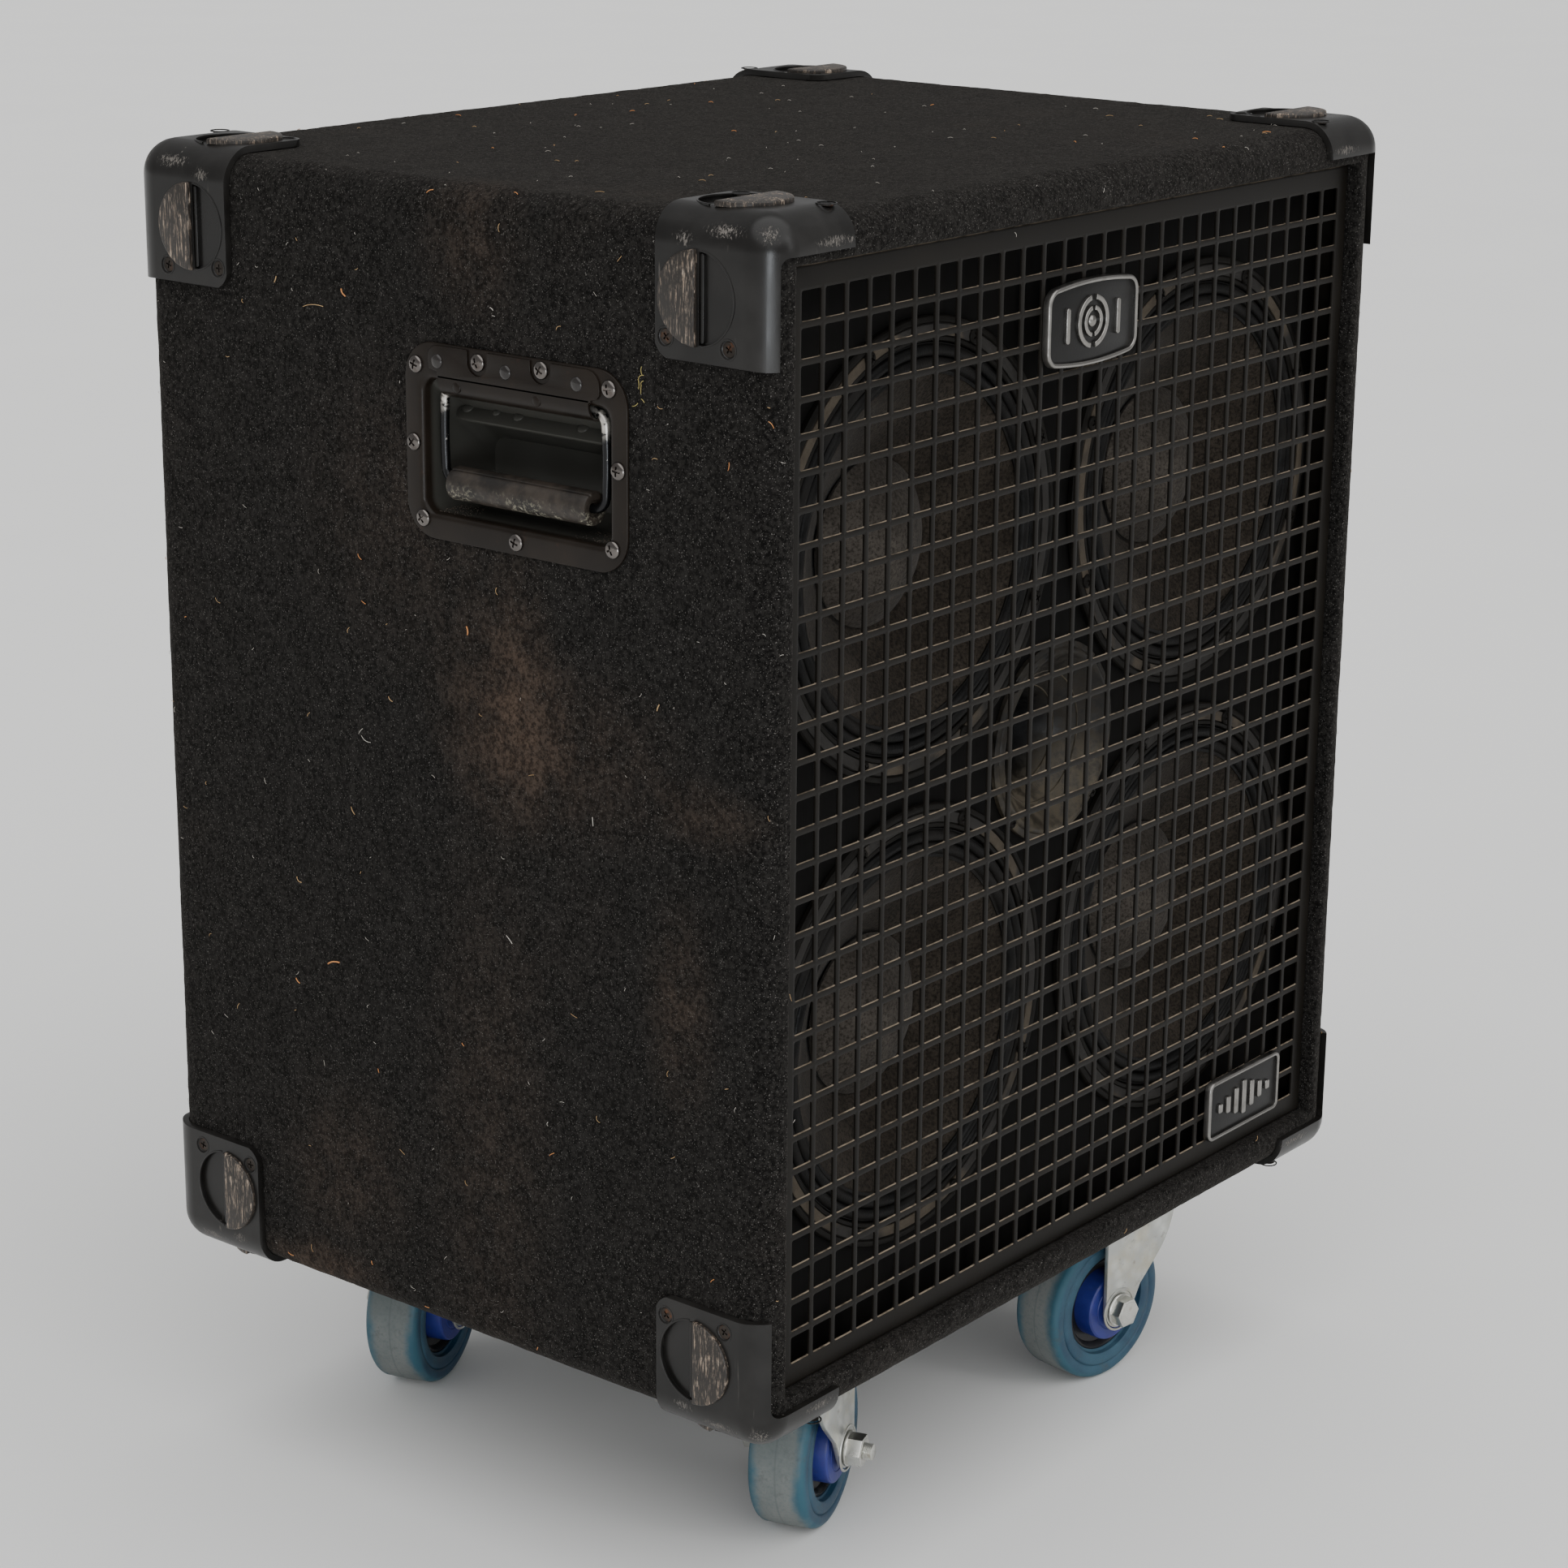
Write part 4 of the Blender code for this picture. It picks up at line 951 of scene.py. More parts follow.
def make_carpet(paints):
    """The felt over the whole box, open at the front mouth, the handles and the rear sockets."""
    bm = bmesh.new()
    marks = [axis_marks(half, FELT_SPACING) for half in HALF]
    flat_x, flat_z = HALF.x - EDGE_RADIUS, HALF.z - EDGE_RADIUS
    for axis in range(3):
        across, upward = (axis + 1) % 3, (axis + 2) % 3
        for side in (-1, 1):
            grid = {}
            for i, u in enumerate(marks[across]):
                for j, v in enumerate(marks[upward]):
                    point = [0.0, 0.0, 0.0]
                    point[axis], point[across], point[upward] = side * HALF[axis], u, v
                    place, normal = on_box(point)
                    grid[i, j] = bm.verts.new(place + normal * felt_height(place))
            for i, u in enumerate(marks[across][:-1]):
                for j, v in enumerate(marks[upward][:-1]):
                    corners = [grid[i, j], grid[i + 1, j], grid[i + 1, j + 1], grid[i, j + 1]]
                    middle = sum((c.co for c in corners), Vector()) / 4
                    if axis == 1 and side < 0:
                        local = middle - CENTRE
                        if abs(local.x) < flat_x and abs(local.z) < flat_z:
                            continue
                    straight = Vector([side if k == axis else 0 for k in range(3)])
                    if in_hole(middle, straight, HOLES):
                        continue
                    bm.faces.new(corners if side > 0 else corners[::-1])
    bmesh.ops.delete(bm, geom=[v for v in bm.verts if not v.link_faces], context="VERTS")
    add_front_lip(bm, marks, flat_x, flat_z)
    felt = to_object(bm, weld=1e-5)
    show(felt, "carpet", paints["felt"], replaces=["carpet_cover"], angle=180)


def add_front_lip(bm, marks, flat_x, flat_z):
    """The carpet's flat front border, its turn into the mouth and the lining as far as the baffle."""
    flat_u = [u for u in marks[0] if abs(u) <= flat_x + 1e-9]
    flat_v = [v for v in marks[2] if abs(v) <= flat_z + 1e-9]
    loop = [(u, -flat_z) for u in flat_u[:-1]] + [(flat_x, v) for v in flat_v[:-1]]
    loop += [(u, flat_z) for u in flat_u[:0:-1]] + [(-flat_x, v) for v in flat_v[:0:-1]]
    mouth_x = (GRILLE_HIGH.x - GRILLE_LOW.x) / 2 + GAP
    mouth_z = (GRILLE_HIGH.z - GRILLE_LOW.z) / 2 + GAP
    halfway = ((flat_x + mouth_x + MOUTH_ROUND) / 2, (flat_z + mouth_z + MOUTH_ROUND) / 2, 0.0)
    sections = [(flat_x, flat_z, 0.0), halfway]
    for angle in quarter_turn(5):
        back = MOUTH_ROUND * (1 - math.sin(angle))
        sections.append((mouth_x + back, mouth_z + back, MOUTH_ROUND * (1 - math.cos(angle))))
    lining = BAFFLE_FACE - LOW.y - 2 * GAP - MOUTH_ROUND
    sections += [(mouth_x, mouth_z, MOUTH_ROUND + lining * (i + 1) / 5) for i in range(5)]
    rings = []
    for half_u, half_v, inward in sections:
        ring = []
        for u, v in loop:
            place = CENTRE + Vector((u * half_u / flat_x, -HALF.y + inward, v * half_v / flat_z))
            if inward <= MOUTH_ROUND / 2:
                place.y -= felt_height(place)
            ring.append(place)
        rings.append(ring)
    add_loft(bm, rings, capped=False)


def grown(hole, margin):
    axis, side, low, high = hole
    return axis, side, low - Vector(margin), high + Vector(margin)


COVERED = [grown(hole, (0, 0.012, 0.016)) for hole in HOLES[:2]] + [grown(HOLES[2], (0.008, 0, 0.008))]


def carpet_spot(rng):
    """A random point on the visible carpet, with its normal."""
    areas = [HALF.y * HALF.z, HALF.x * HALF.z, HALF.x * HALF.y]
    while True:
        axis = rng.choices((0, 1, 2), areas)[0]
        side = rng.choice((-1, 1))
        point = [rng.uniform(-h, h) for h in HALF]
        point[axis] = side * HALF[axis]
        place, normal = on_box(point)
        local = place - CENTRE
        if normal.y < -0.5 and abs(local.x) < HALF.x - 0.022 and abs(local.z) < HALF.z - 0.026:
            continue
        inside = [abs(local[i]) > HALF[i] - reach + 0.004 for i, reach in enumerate(CORNER_REACH)]
        if sum(inside) == 3:
            continue
        if in_hole(place, normal, COVERED):
            continue
        return place, normal


def tangent_of(normal, rng):
    """A random direction along the surface."""
    turn = rng.uniform(0, 2 * math.pi)
    first = normal.orthogonal().normalized()
    return math.cos(turn) * first + math.sin(turn) * normal.cross(first)


def needles(name, spikes):
    """An object of thin three-sided spikes, one for each (root, tip, radius)."""
    points, faces = [], []
    for root, tip, radius in spikes:
        along = tip - root
        first = along.orthogonal().normalized() * radius
        second = along.cross(first).normalized() * radius
        start = len(points)
        points += [root + first, root - first / 2 + second * 0.866, root - first / 2 - second * 0.866, tip]
        for sides in ((0, 1, 3), (1, 2, 3), (2, 0, 3), (0, 2, 1)):
            faces.append([start + corner for corner in sides])
    mesh = bpy.data.meshes.new(name)
    mesh.from_pydata(points, [], faces)
    return new_object(name, mesh)


def make_fuzz(paints):
    """Loose fibre ends that stand out of the felt."""
    rng = random.Random(FUZZ_SEED)
    spikes = []
    for _ in range(FUZZ_COUNT):
        place, normal = carpet_spot(rng)
        lean = normal * rng.uniform(0.25, 0.9) + tangent_of(normal, rng)
        length = rng.uniform(0.0008, 0.0021)
        root = place - normal * 0.0004
        spikes.append((root, root + lean.normalized() * length, rng.uniform(0.00004, 0.00008)))
    show(needles("carpet_fuzz", spikes), "carpet_fuzz", paints["fuzz"], angle=180)


def curl(place, normal, length, rng, lift=0.0004):
    """Points of a short curved thread that lies on the felt."""
    heading = tangent_of(normal, rng)
    side = normal.cross(heading)
    bend = rng.uniform(-1.6, 1.6)
    points = []
    here = Vector(place)
    for part in (0, 0.2, 0.4, 0.6, 0.8, 1):
        points.append(here + normal * (lift + 0.0004 * math.sin(math.pi * part)))
        here = here + (math.cos(bend * part) * heading + math.sin(bend * part) * side) * (length / 5)
    return points


def make_lint(paints):
    """Threads, straw and hairs caught on the carpet, most of them on the upper and side faces."""
    rng = random.Random(LINT_SEED)
    kinds = (
        ("lint_pale", 0.62, (0.0010, 0.0035), 0.00011),
        ("lint_tan", 0.28, (0.0012, 0.0050), 0.00014),
        ("lint_orange", 0.10, (0.0015, 0.0050), 0.00022),
    )
    for kind, share, lengths, radius in kinds:
        bm = bmesh.new()
        for _ in range(int(LINT_COUNT * share)):
            place, normal = carpet_spot(rng)
            add_tube(bm, curl(place, normal, rng.uniform(*lengths), rng), radius, 4)
        show(to_object(bm, weld=0), f"carpet_{kind}", paints[kind], angle=180)
    make_strays(paints, rng)


def make_strays(paints, rng):
    """The few larger bits on the left side: (from the lip, from the bottom, length, thickness)."""
    outward = Vector((-1, 0, 0))
    groups = {
        "lint_tan": [
            (0.330, 0.585, 0.016, 0.00018), (0.352, 0.596, 0.004, 0.00026), (0.300, 0.300, 0.005, 0.0002),
            (0.075, 0.402, 0.004, 0.0003), (0.268, 0.372, 0.004, 0.0002), (0.345, 0.250, 0.005, 0.0002),
        ],
        "lint_orange": [
            (0.325, 0.205, 0.010, 0.00045), (0.300, 0.598, 0.005, 0.0004), (0.352, 0.190, 0.004, 0.0003),
            (0.210, 0.420, 0.005, 0.0004),
        ],
        "lint_pale": [
            (0.286, 0.345, 0.008, 0.00014), (0.292, 0.352, 0.005, 0.00013), (0.190, 0.600, 0.003, 0.0002),
            (0.180, 0.250, 0.006, 0.0002), (0.120, 0.330, 0.005, 0.0002),
        ],
    }
    for kind, places in groups.items():
        bm = bmesh.new()
        for from_lip, from_bottom, length, radius in places:
            place = Vector((LOW.x - 0.0003, LOW.y + from_lip, LOW.z + from_bottom))
            add_tube(bm, curl(place, outward, length, rng), radius, 6)
        show(bm, f"stray_{kind}", paints[kind], angle=180)
    bm = bmesh.new()
    tuft = Vector((LOW.x, LOW.y + 0.086, LOW.z + 0.569))
    for i in range(7):
        start = tuft + Vector((0, rng.uniform(-0.0015, 0.0015), 0.008 - 0.0024 * i))
        add_tube(bm, curl(start, outward, rng.uniform(0.003, 0.006), rng, 0.0006 + 0.0001 * i), 0.00022, 5)
    show(bm, "stray_tuft", paints["lint_moss"], angle=180)


# ---------------------------------------------------------------- grille and badges

def make_grille(paints):
    """Punched lattice with rounded holes, a plain border and edges folded back to the baffle."""
    face, back = GRILLE_LOW.y, GRILLE_LOW.y + GRILLE_SHEET
    middle_x, _, middle_z = (GRILLE_LOW + GRILLE_HIGH) / 2
    half_x, _, half_z = (GRILLE_HIGH - GRILLE_LOW) / 2
    columns, rows = GRILLE_CELLS
    pitch_x = (2 * (half_x - GRILLE_BORDER[0]) + GRILLE_BAR) / columns
    pitch_z = (2 * (half_z - GRILLE_BORDER[1]) + GRILLE_BAR) / rows
    field_x, field_z = pitch_x * columns / 2, pitch_z * rows / 2
    hole_sections = (
        (HOLE_RIM, face), (HOLE_RIM * 0.3, face + HOLE_RIM * 0.3), (0, face + HOLE_RIM),
        (0, back - HOLE_RIM * 0.5), (HOLE_RIM * 0.5, back),
    )
    bm = bmesh.new()

    def grid_vertices(y):
        return {
            (i, j): bm.verts.new((middle_x - field_x + i * pitch_x, y, middle_z - field_z + j * pitch_z))
            for i in range(columns + 1) for j in range(rows + 1)
        }

    front_grid, back_grid = grid_vertices(face), grid_vertices(back)
    for i in range(columns):
        for j in range(rows):
            centre = (middle_x - field_x + (i + 0.5) * pitch_x, middle_z - field_z + (j + 0.5) * pitch_z)
            loops = []
            for grow, y in hole_sections:
                size = (pitch_x - GRILLE_BAR + 2 * grow, pitch_z - GRILLE_BAR + 2 * grow)
                outline = rounded_rectangle(*size, HOLE_ROUND + grow, centre, 2)
                loops.append([bm.verts.new((u, y, v)) for u, v in outline])
            for first, second in zip(loops, loops[1:]):
                bridge(bm, first, second)
            for grid, loop in ((front_grid, loops[0]), (back_grid, loops[-1])):
                corners = [grid[i + 1, j + 1], grid[i, j + 1], grid[i, j], grid[i + 1, j]]
                for quarter in range(4):
                    arc_points = loop[3 * quarter:3 * quarter + 3]
                    following = loop[(3 * quarter + 3) % 12]
                    bm.faces.new([corners[quarter], *arc_points])
                    bm.faces.new([corners[quarter], arc_points[-1], following, corners[(quarter + 1) % 4]])

    def border_loop(grid):
        around = [(i, 0) for i in range(columns)] + [(columns, j) for j in range(rows)]
        around += [(i, rows) for i in range(columns, 0, -1)] + [(0, j) for j in range(rows, 0, -1)]
        return [grid[key] for key in around]

    def ring(reach_x, reach_z, y):
        points = []
        for vertex in border_loop(front_grid):
            u = (vertex.co.x - middle_x) / field_x * reach_x
            v = (vertex.co.z - middle_z) / field_z * reach_z
            points.append(bm.verts.new((middle_x + u, y, middle_z + v)))
        return points

    loops = [border_loop(front_grid)]
    for angle in quarter_turn(5):
        cut = GRILLE_FOLD * (1 - math.sin(angle))
        loops.append(ring(half_x - cut, half_z - cut, face + GRILLE_FOLD * (1 - math.cos(angle))))
    loops.append(ring(half_x, half_z, GRILLE_HIGH.y))
    inner_x, inner_z = half_x - GRILLE_SHEET, half_z - GRILLE_SHEET
    loops.append(ring(inner_x, inner_z, GRILLE_HIGH.y))
    inner_fold = GRILLE_FOLD - GRILLE_SHEET
    for angle in quarter_turn(3):
        cut = inner_fold * (1 - math.cos(angle))
        depth = face + GRILLE_FOLD - inner_fold * math.sin(angle)
        loops.append(ring(inner_x - cut, inner_z - cut, depth))
    loops.append(border_loop(back_grid))
    for first, second in zip(loops, loops[1:]):
        bridge(bm, first, second)
    show(bm, "grille_lattice", paints["grille"], replaces=["grille"], angle=38)


def bowed_plate(width, height, bow, radius):
    """An outline with rounded corners whose top and bottom bow outwards."""
    points = rounded_rectangle(width, height - 2 * bow, radius, steps=8)
    filled = []
    for i, (u, v) in enumerate(points):
        nu, nv = points[(i + 1) % len(points)]
        pieces = max(1, round(math.hypot(nu - u, nv - v) / 0.003))
        filled += [(u + (nu - u) * k / pieces, v + (nv - v) * k / pieces) for k in range(pieces)]
    return [(u, v + math.copysign(bow, v) * max(0.0, 1 - (2 * u / width) ** 2)) for u, v in filled]


def make_badge(name, outline_of, emblem, paints):
    """A silver rim round a black field, with a raised silver emblem."""
    low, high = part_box(name)
    place = front_place(name, high.y)
    thick = high.y - low.y
    outline = outline_of(high.x - low.x - 0.0006, high.z - low.z - 0.0006)
    inner = inset(outline, BADGE_RIM)
    sections = [
        (outline, 0.0), (outline, thick - 0.0012), (inset(outline, 0.0004), thick - 0.0004),
        (inset(outline, 0.0012), thick), (inset(outline, 0.0018), thick - 0.0001), (inner, thick - 0.0007),
        (inner, 0.0),
    ]
    rings = [[(u, v, w) for u, v in ring] for ring, w in sections]
    rim = add_loft(bmesh.new(), rings, place, False, True)
    show(rim, f"{name}_rim", paints["silver"], replaces=[name], angle=50)
    field = bmesh.new()
    add_slab(field, inset(outline, BADGE_RIM - 0.0003), 0.0, thick - 0.0021, 0.0004, place)
    show(field, f"{name}_field", paints["badge_field"], angle=50)
    raised = bmesh.new()
    emblem(raised, place @ moved(0, 0, thick - 0.0024))
    show(raised, f"{name}_emblem", paints["silver"], angle=50)


def ring_emblem(bm, place):
    """Two half rings about a dot, like a loudspeaker seen from the front, between two bars."""
    for radius, width in ((0.0150, 0.0030), (0.0088, 0.0026)):
        for start in (100, 280):
            outer = arc((0, 0), radius, start, start + 160, 20)
            inner = arc((0, 0), radius - width, start + 160, start, 20)
            add_slab(bm, outer + inner, 0.0, 0.0021, 0.0006, place)
    add_turned(bm, domed(0.0036, 0.0024), 32, place)
    for side in (-1, 1):
        bar = rounded_rectangle(0.0034, 0.020, 0.0015, (side * 0.0245, 0), 4)
        add_slab(bm, bar, 0.0, 0.0021, 0.0006, place)


def level_emblem(bm, place):
    """A row of bars of rising and falling height."""
    heights = (0.006, 0.011, 0.017, 0.0225, 0.017, 0.011, 0.006)
    for i, height in enumerate(heights):
        bar = rounded_rectangle(0.0046, height, 0.0012, ((i - 3) * 0.0092, 0), 4)
        add_slab(bm, bar, 0.0, 0.0020, 0.0006, place)


def make_badges(paints):
    make_badge("badge_top", lambda wide, tall: bowed_plate(wide, tall, 0.0035, 0.008), ring_emblem, paints)
    make_badge("badge_corner", lambda wide, tall: rounded_rectangle(wide, tall, 0.0055, steps=8),
               level_emblem, paints)


# ---------------------------------------------------------------- corner protectors

def reach_outline(along_u, along_v, radius):
    """A rounded rectangle between two places on each axis."""
    middle = (sum(along_u) / 2, sum(along_v) / 2)
    return rounded_rectangle(along_u[1] - along_u[0], along_v[1] - along_v[0], radius, middle, 8)


def half_disc(radius, direction, centre, steps=20):
    """A half disc whose round side faces +u (direction 1) or -u (direction -1), anticlockwise."""
    start = -90 if direction > 0 else 90
    return arc(centre, radius, start, start + 180, steps)


def mirrored(bm):
    """The shape on the other side of X = 0."""
    bmesh.ops.scale(bm, vec=(-1, 1, 1), verts=bm.verts)
    bmesh.ops.reverse_faces(bm, faces=bm.faces)
    return bm


def corner_features(front, top):
    """Places on the left protector about the box's centre: the side and the level discs, and the screws.
    front is -1 at the grille and 1 at the rear, and top is 1 or -1. Local Z points out of the wall."""

    def on_side(from_lip, from_edge):
        y, z = front * (HALF.y - from_lip), top * (HALF.z - from_edge)
        return Matrix(((0, 0, -1, -HALF.x - CORNER_WALL), (1, 0, 0, y), (0, 1, 0, z), (0, 0, 0, 1)))

    def on_level(from_lip, from_side):
        x, y = from_side - HALF.x, front * (HALF.y - from_lip)
        return Matrix(((0, 1, 0, x), (1, 0, 0, y), (0, 0, top, top * (HALF.z + CORNER_WALL)), (0, 0, 0, 1)))

    screws = [on_side(0.0255, 0.0645), on_side(0.0665, 0.0625)]
    screws += [on_level(0.0097, 0.0535), on_level(0.0645, 0.0530)]
    return on_side(DISC_FROM_LIP, DISC_FROM_TOP), on_level(DISC_FROM_LIP, DISC_FROM_SIDE), screws


def corner_shell(front, top):
    """The left protector's wall, with its pockets and screw recesses, about the box's centre."""
    body = to_object(rounded_box([2 * (half + CORNER_WALL) for half in HALF], EDGE_RADIUS + CORNER_WALL, 10))
    combine(body, rounded_box([2 * (half + GAP) for half in HALF], EDGE_RADIUS + GAP, 6), "DIFFERENCE")
    along = []
    for side, half, reach in zip((-1, front, top), HALF, CORNER_REACH):
        along.append(sorted((side * (half + 0.012), side * (half - reach))))
    for axis, (u, v) in (("X", (1, 2)), ("Y", (0, 2)), ("Z", (0, 1))):
        combine(body, prism(reach_outline(along[u], along[v], CORNER_ROUND), axis, -0.6, 0.6), "INTERSECT")
    if front < 0:
        lip_x = CORNER_LIP - HALF.x
        clear = sorted((0, top * (HALF.z - CORNER_ARM)))
        window = reach_outline((lip_x, 0.1), clear, 0.005)
        combine(body, prism(window, "Y", -0.3, 0.01 - HALF.y), "DIFFERENCE")
    to_side, to_level, screws = corner_features(front, top)
    for place, direction in ((to_side, -top), (to_level, top)):
        outline = half_disc(DISC_RADIUS - 0.001, direction, (direction * 0.0015, 0))
        rings = [[(u, v, w) for u, v in outline] for w in (-POCKET_DEPTH, 0.01)]
        combine(body, add_loft(bmesh.new(), rings, place), "DIFFERENCE")
    recess = [(0, -0.0022), (0.0026, -0.0022), (0.0046, -0.0006), (0.0047, 0.004), (0, 0.004)]
    for place in screws:
        combine(body, add_turned(bmesh.new(), recess, 24, place), "DIFFERENCE")
    return soften(body, 0.0006, 2, 34)


def corner_trim(front, top):
    """A bar and a rim at each pocket and a rim round each screw, which are moulded with the wall."""
    to_side, to_level, screws = corner_features(front, top)
    bm = bmesh.new()
    offset, width = 0.0030, 0.0022
    length = 2 * math.sqrt(DISC_RADIUS ** 2 - (offset + 0.001) ** 2) - 0.003
    for place, direction in ((to_side, -top), (to_level, top)):
        bar = rounded_rectangle(width, length, width * 0.45, (direction * offset, 0), 3)
        add_slab(bm, bar, -POCKET_DEPTH - 0.0006, -0.0006, 0.0005, place)
        start = -82 if direction > 0 else 98
        edge = arc((0, 0), DISC_RADIUS + 0.0002, start, start + 164, 32)
        edge += arc((0, 0), DISC_RADIUS - 0.0008, start + 164, start, 32)
        add_slab(bm, edge, -0.0008, 0.0004, 0.0003, place)
    rim = [(0.0049, -0.0004), (0.0049, 0.00015), (0.0052, 0.0003), (0.0056, 0.00015), (0.0057, -0.0004)]
    for place in screws:
        add_turned(bm, rim, 28, place)
    return bm


def corner_pads(front, top):
    """The raised half of each disc."""
    to_side, to_level, _ = corner_features(front, top)
    bm = bmesh.new()
    for place, direction in ((to_side, top), (to_level, -top)):
        outline = half_disc(DISC_RADIUS, direction, (0, 0), 28)
        add_slab(bm, outline, -0.0006, PAD_HEIGHT, 0.0011, place, 3)
    return bm


def make_corners(paints):
    head = cross_head(0.0040, 0.0016, True)
    for (front, front_word), (top, top_word) in itertools.product(
        ((-1, "front"), (1, "rear")), ((1, "top"), (-1, "bottom")),
    ):
        shell = only_mesh(corner_shell(front, top))
        for side, word in ((-1, "left"), (1, "right")):
            name = f"corner_{front_word}_{top_word}_{word}"
            wall = stamp(bmesh.new(), shell, Matrix())
            trim, pads = corner_trim(front, top), corner_pads(front, top)
            screws = bmesh.new()
            for place in corner_features(front, top)[2]:
                stamp(screws, head, place @ moved(0, 0, -0.0008) @ spun(0.4 + 7 * place.translation.y))
            for bm in (wall, trim, pads, screws):
                if side > 0:
                    mirrored(bm)
                bmesh.ops.translate(bm, vec=CENTRE, verts=bm.verts)
            show(to_object(wall, weld=1e-7), f"{name}_wall", paints["corner"],
                 replaces=[name], weighted=True)
            show(trim, f"{name}_trim", paints["corner"], angle=50)
            show(pads, f"{name}_pads", paints["pad"], angle=50)
            show(screws, f"{name}_screws", paints["corner_screw"], angle=35)


# ---------------------------------------------------------------- handles

def handle_frame(word):
    """Local X runs towards the rear, Y up and Z out of the cabinet's side. The origin is the plate's
    centre on the carpet's face."""
    side = -1 if word == "left" else 1
    low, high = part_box(f"handle_dish_{word}")
    face = LOW.x if side < 0 else HIGH.x
    middle = (low + high) / 2
    return Matrix(((0, 0, side, face), (1, 0, 0, middle.y), (0, 1, 0, middle.z), (0, 0, 0, 1)))


def plate_ring(width, height, radius, drop, z):
    """A rounded rectangle at one height, its middle this far below the plate's."""
    return [(u, v, z) for u, v in rounded_rectangle(width, height, radius, (0, -drop), 8)]


def handle_dish(bm, place, plate):
    """Face plate with a rolled rim round the pocket, whose roof slopes down to its floor."""
    (wide, tall), bead, edge = OPENING_SIZE, OPENING_BEAD, 0.0007
    inside = [
        (wide, tall, 0.008, OPENING_DROP, -0.0055), (wide - 0.007, tall - 0.021, 0.008, 0.0122, -0.0225),
        (wide - 0.0135, tall - 0.0375, 0.009, 0.0190, -0.0400),
    ]
    sections = [(0.118, 0.033, 0.008, 0.0195, -0.0475)]
    for width, height, radius, drop, z in inside[::-1]:
        sections.append((width + 2 * HANDLE_SHEET, height + 2 * HANDLE_SHEET, radius, drop, z - 0.0008))
    sections.append((wide + 2 * bead + 0.004, tall + 2 * bead + 0.004, 0.010, OPENING_DROP, GAP))
    sections.append((*plate, PLATE_ROUND, 0, GAP))
    for angle in quarter_turn(3):
        cut = edge * (1 - math.cos(angle))
        rise = PLATE_FACE - edge * (1 - math.sin(angle))
        sections.append((plate[0] - 2 * cut, plate[1] - 2 * cut, PLATE_ROUND - cut, 0, rise))
    sections.append((wide + 2 * bead + 0.003, tall + 2 * bead + 0.003, 0.010, OPENING_DROP, PLATE_FACE))
    for angle in quarter_turn(5):
        grow = bead * (1 - math.sin(angle))
        rise = PLATE_FACE - bead * (1 - math.cos(angle))
        sections.append((wide + 2 * grow, tall + 2 * grow, 0.008, OPENING_DROP, rise))
    sections += inside + [(0.116, 0.031, 0.008, 0.0195, -0.0455), (0.108, 0.023, 0.005, 0.0195, -0.0460)]
    add_loft(bm, [plate_ring(*section) for section in sections], place)


def notch(centre, radius, top):
    """The way down and round a screw and back up, met from +u to -u."""
    return [(centre[0] + radius, top)] + arc(centre, radius, 0, -180, 14) + [(centre[0] - radius, top)]


def bracket_outline():
    """Riveted plate over the top of the opening, notched round two screws and cut round the bail's eyes."""
    top, lower = 0.0525, 0.0350
    points = [(-0.0540, lower), (0.0540, lower), (0.0545, 0.0385), (0.0600, 0.0395), (0.0610, 0.0430)]
    points += arc((0.0540, top - 0.0070), 0.0070, 0, 90, 6)
    points += notch((0.0250, 0.0465), 0.0072, top)
    points += notch((-0.0200, 0.0480), 0.0072, top)
    points += arc((-0.0520, top - 0.0090), 0.0090, 90, 180, 8)
    points += [(-0.0610, 0.0400), (-0.0590, 0.0375), (-0.0550, 0.0365)]
    return points


def bracket_lip():
    """Section (out, up) of the bracket's lower edge, rolled over the bail's barrel."""
    roll, height, sheet, thinned = 0.0092, 0.0335, 0.0012, 0.14
    start = (BRACKET_FACE, 0.0362)
    curve = arc((BRACKET_FACE - roll, height), roll, 0, -95, 9)
    inner = [(x + (-0.0066 - x) * thinned, v + (height - v) * thinned) for x, v in curve]
    return [start] + curve + inner[::-1] + [(start[0] - sheet, start[1])]


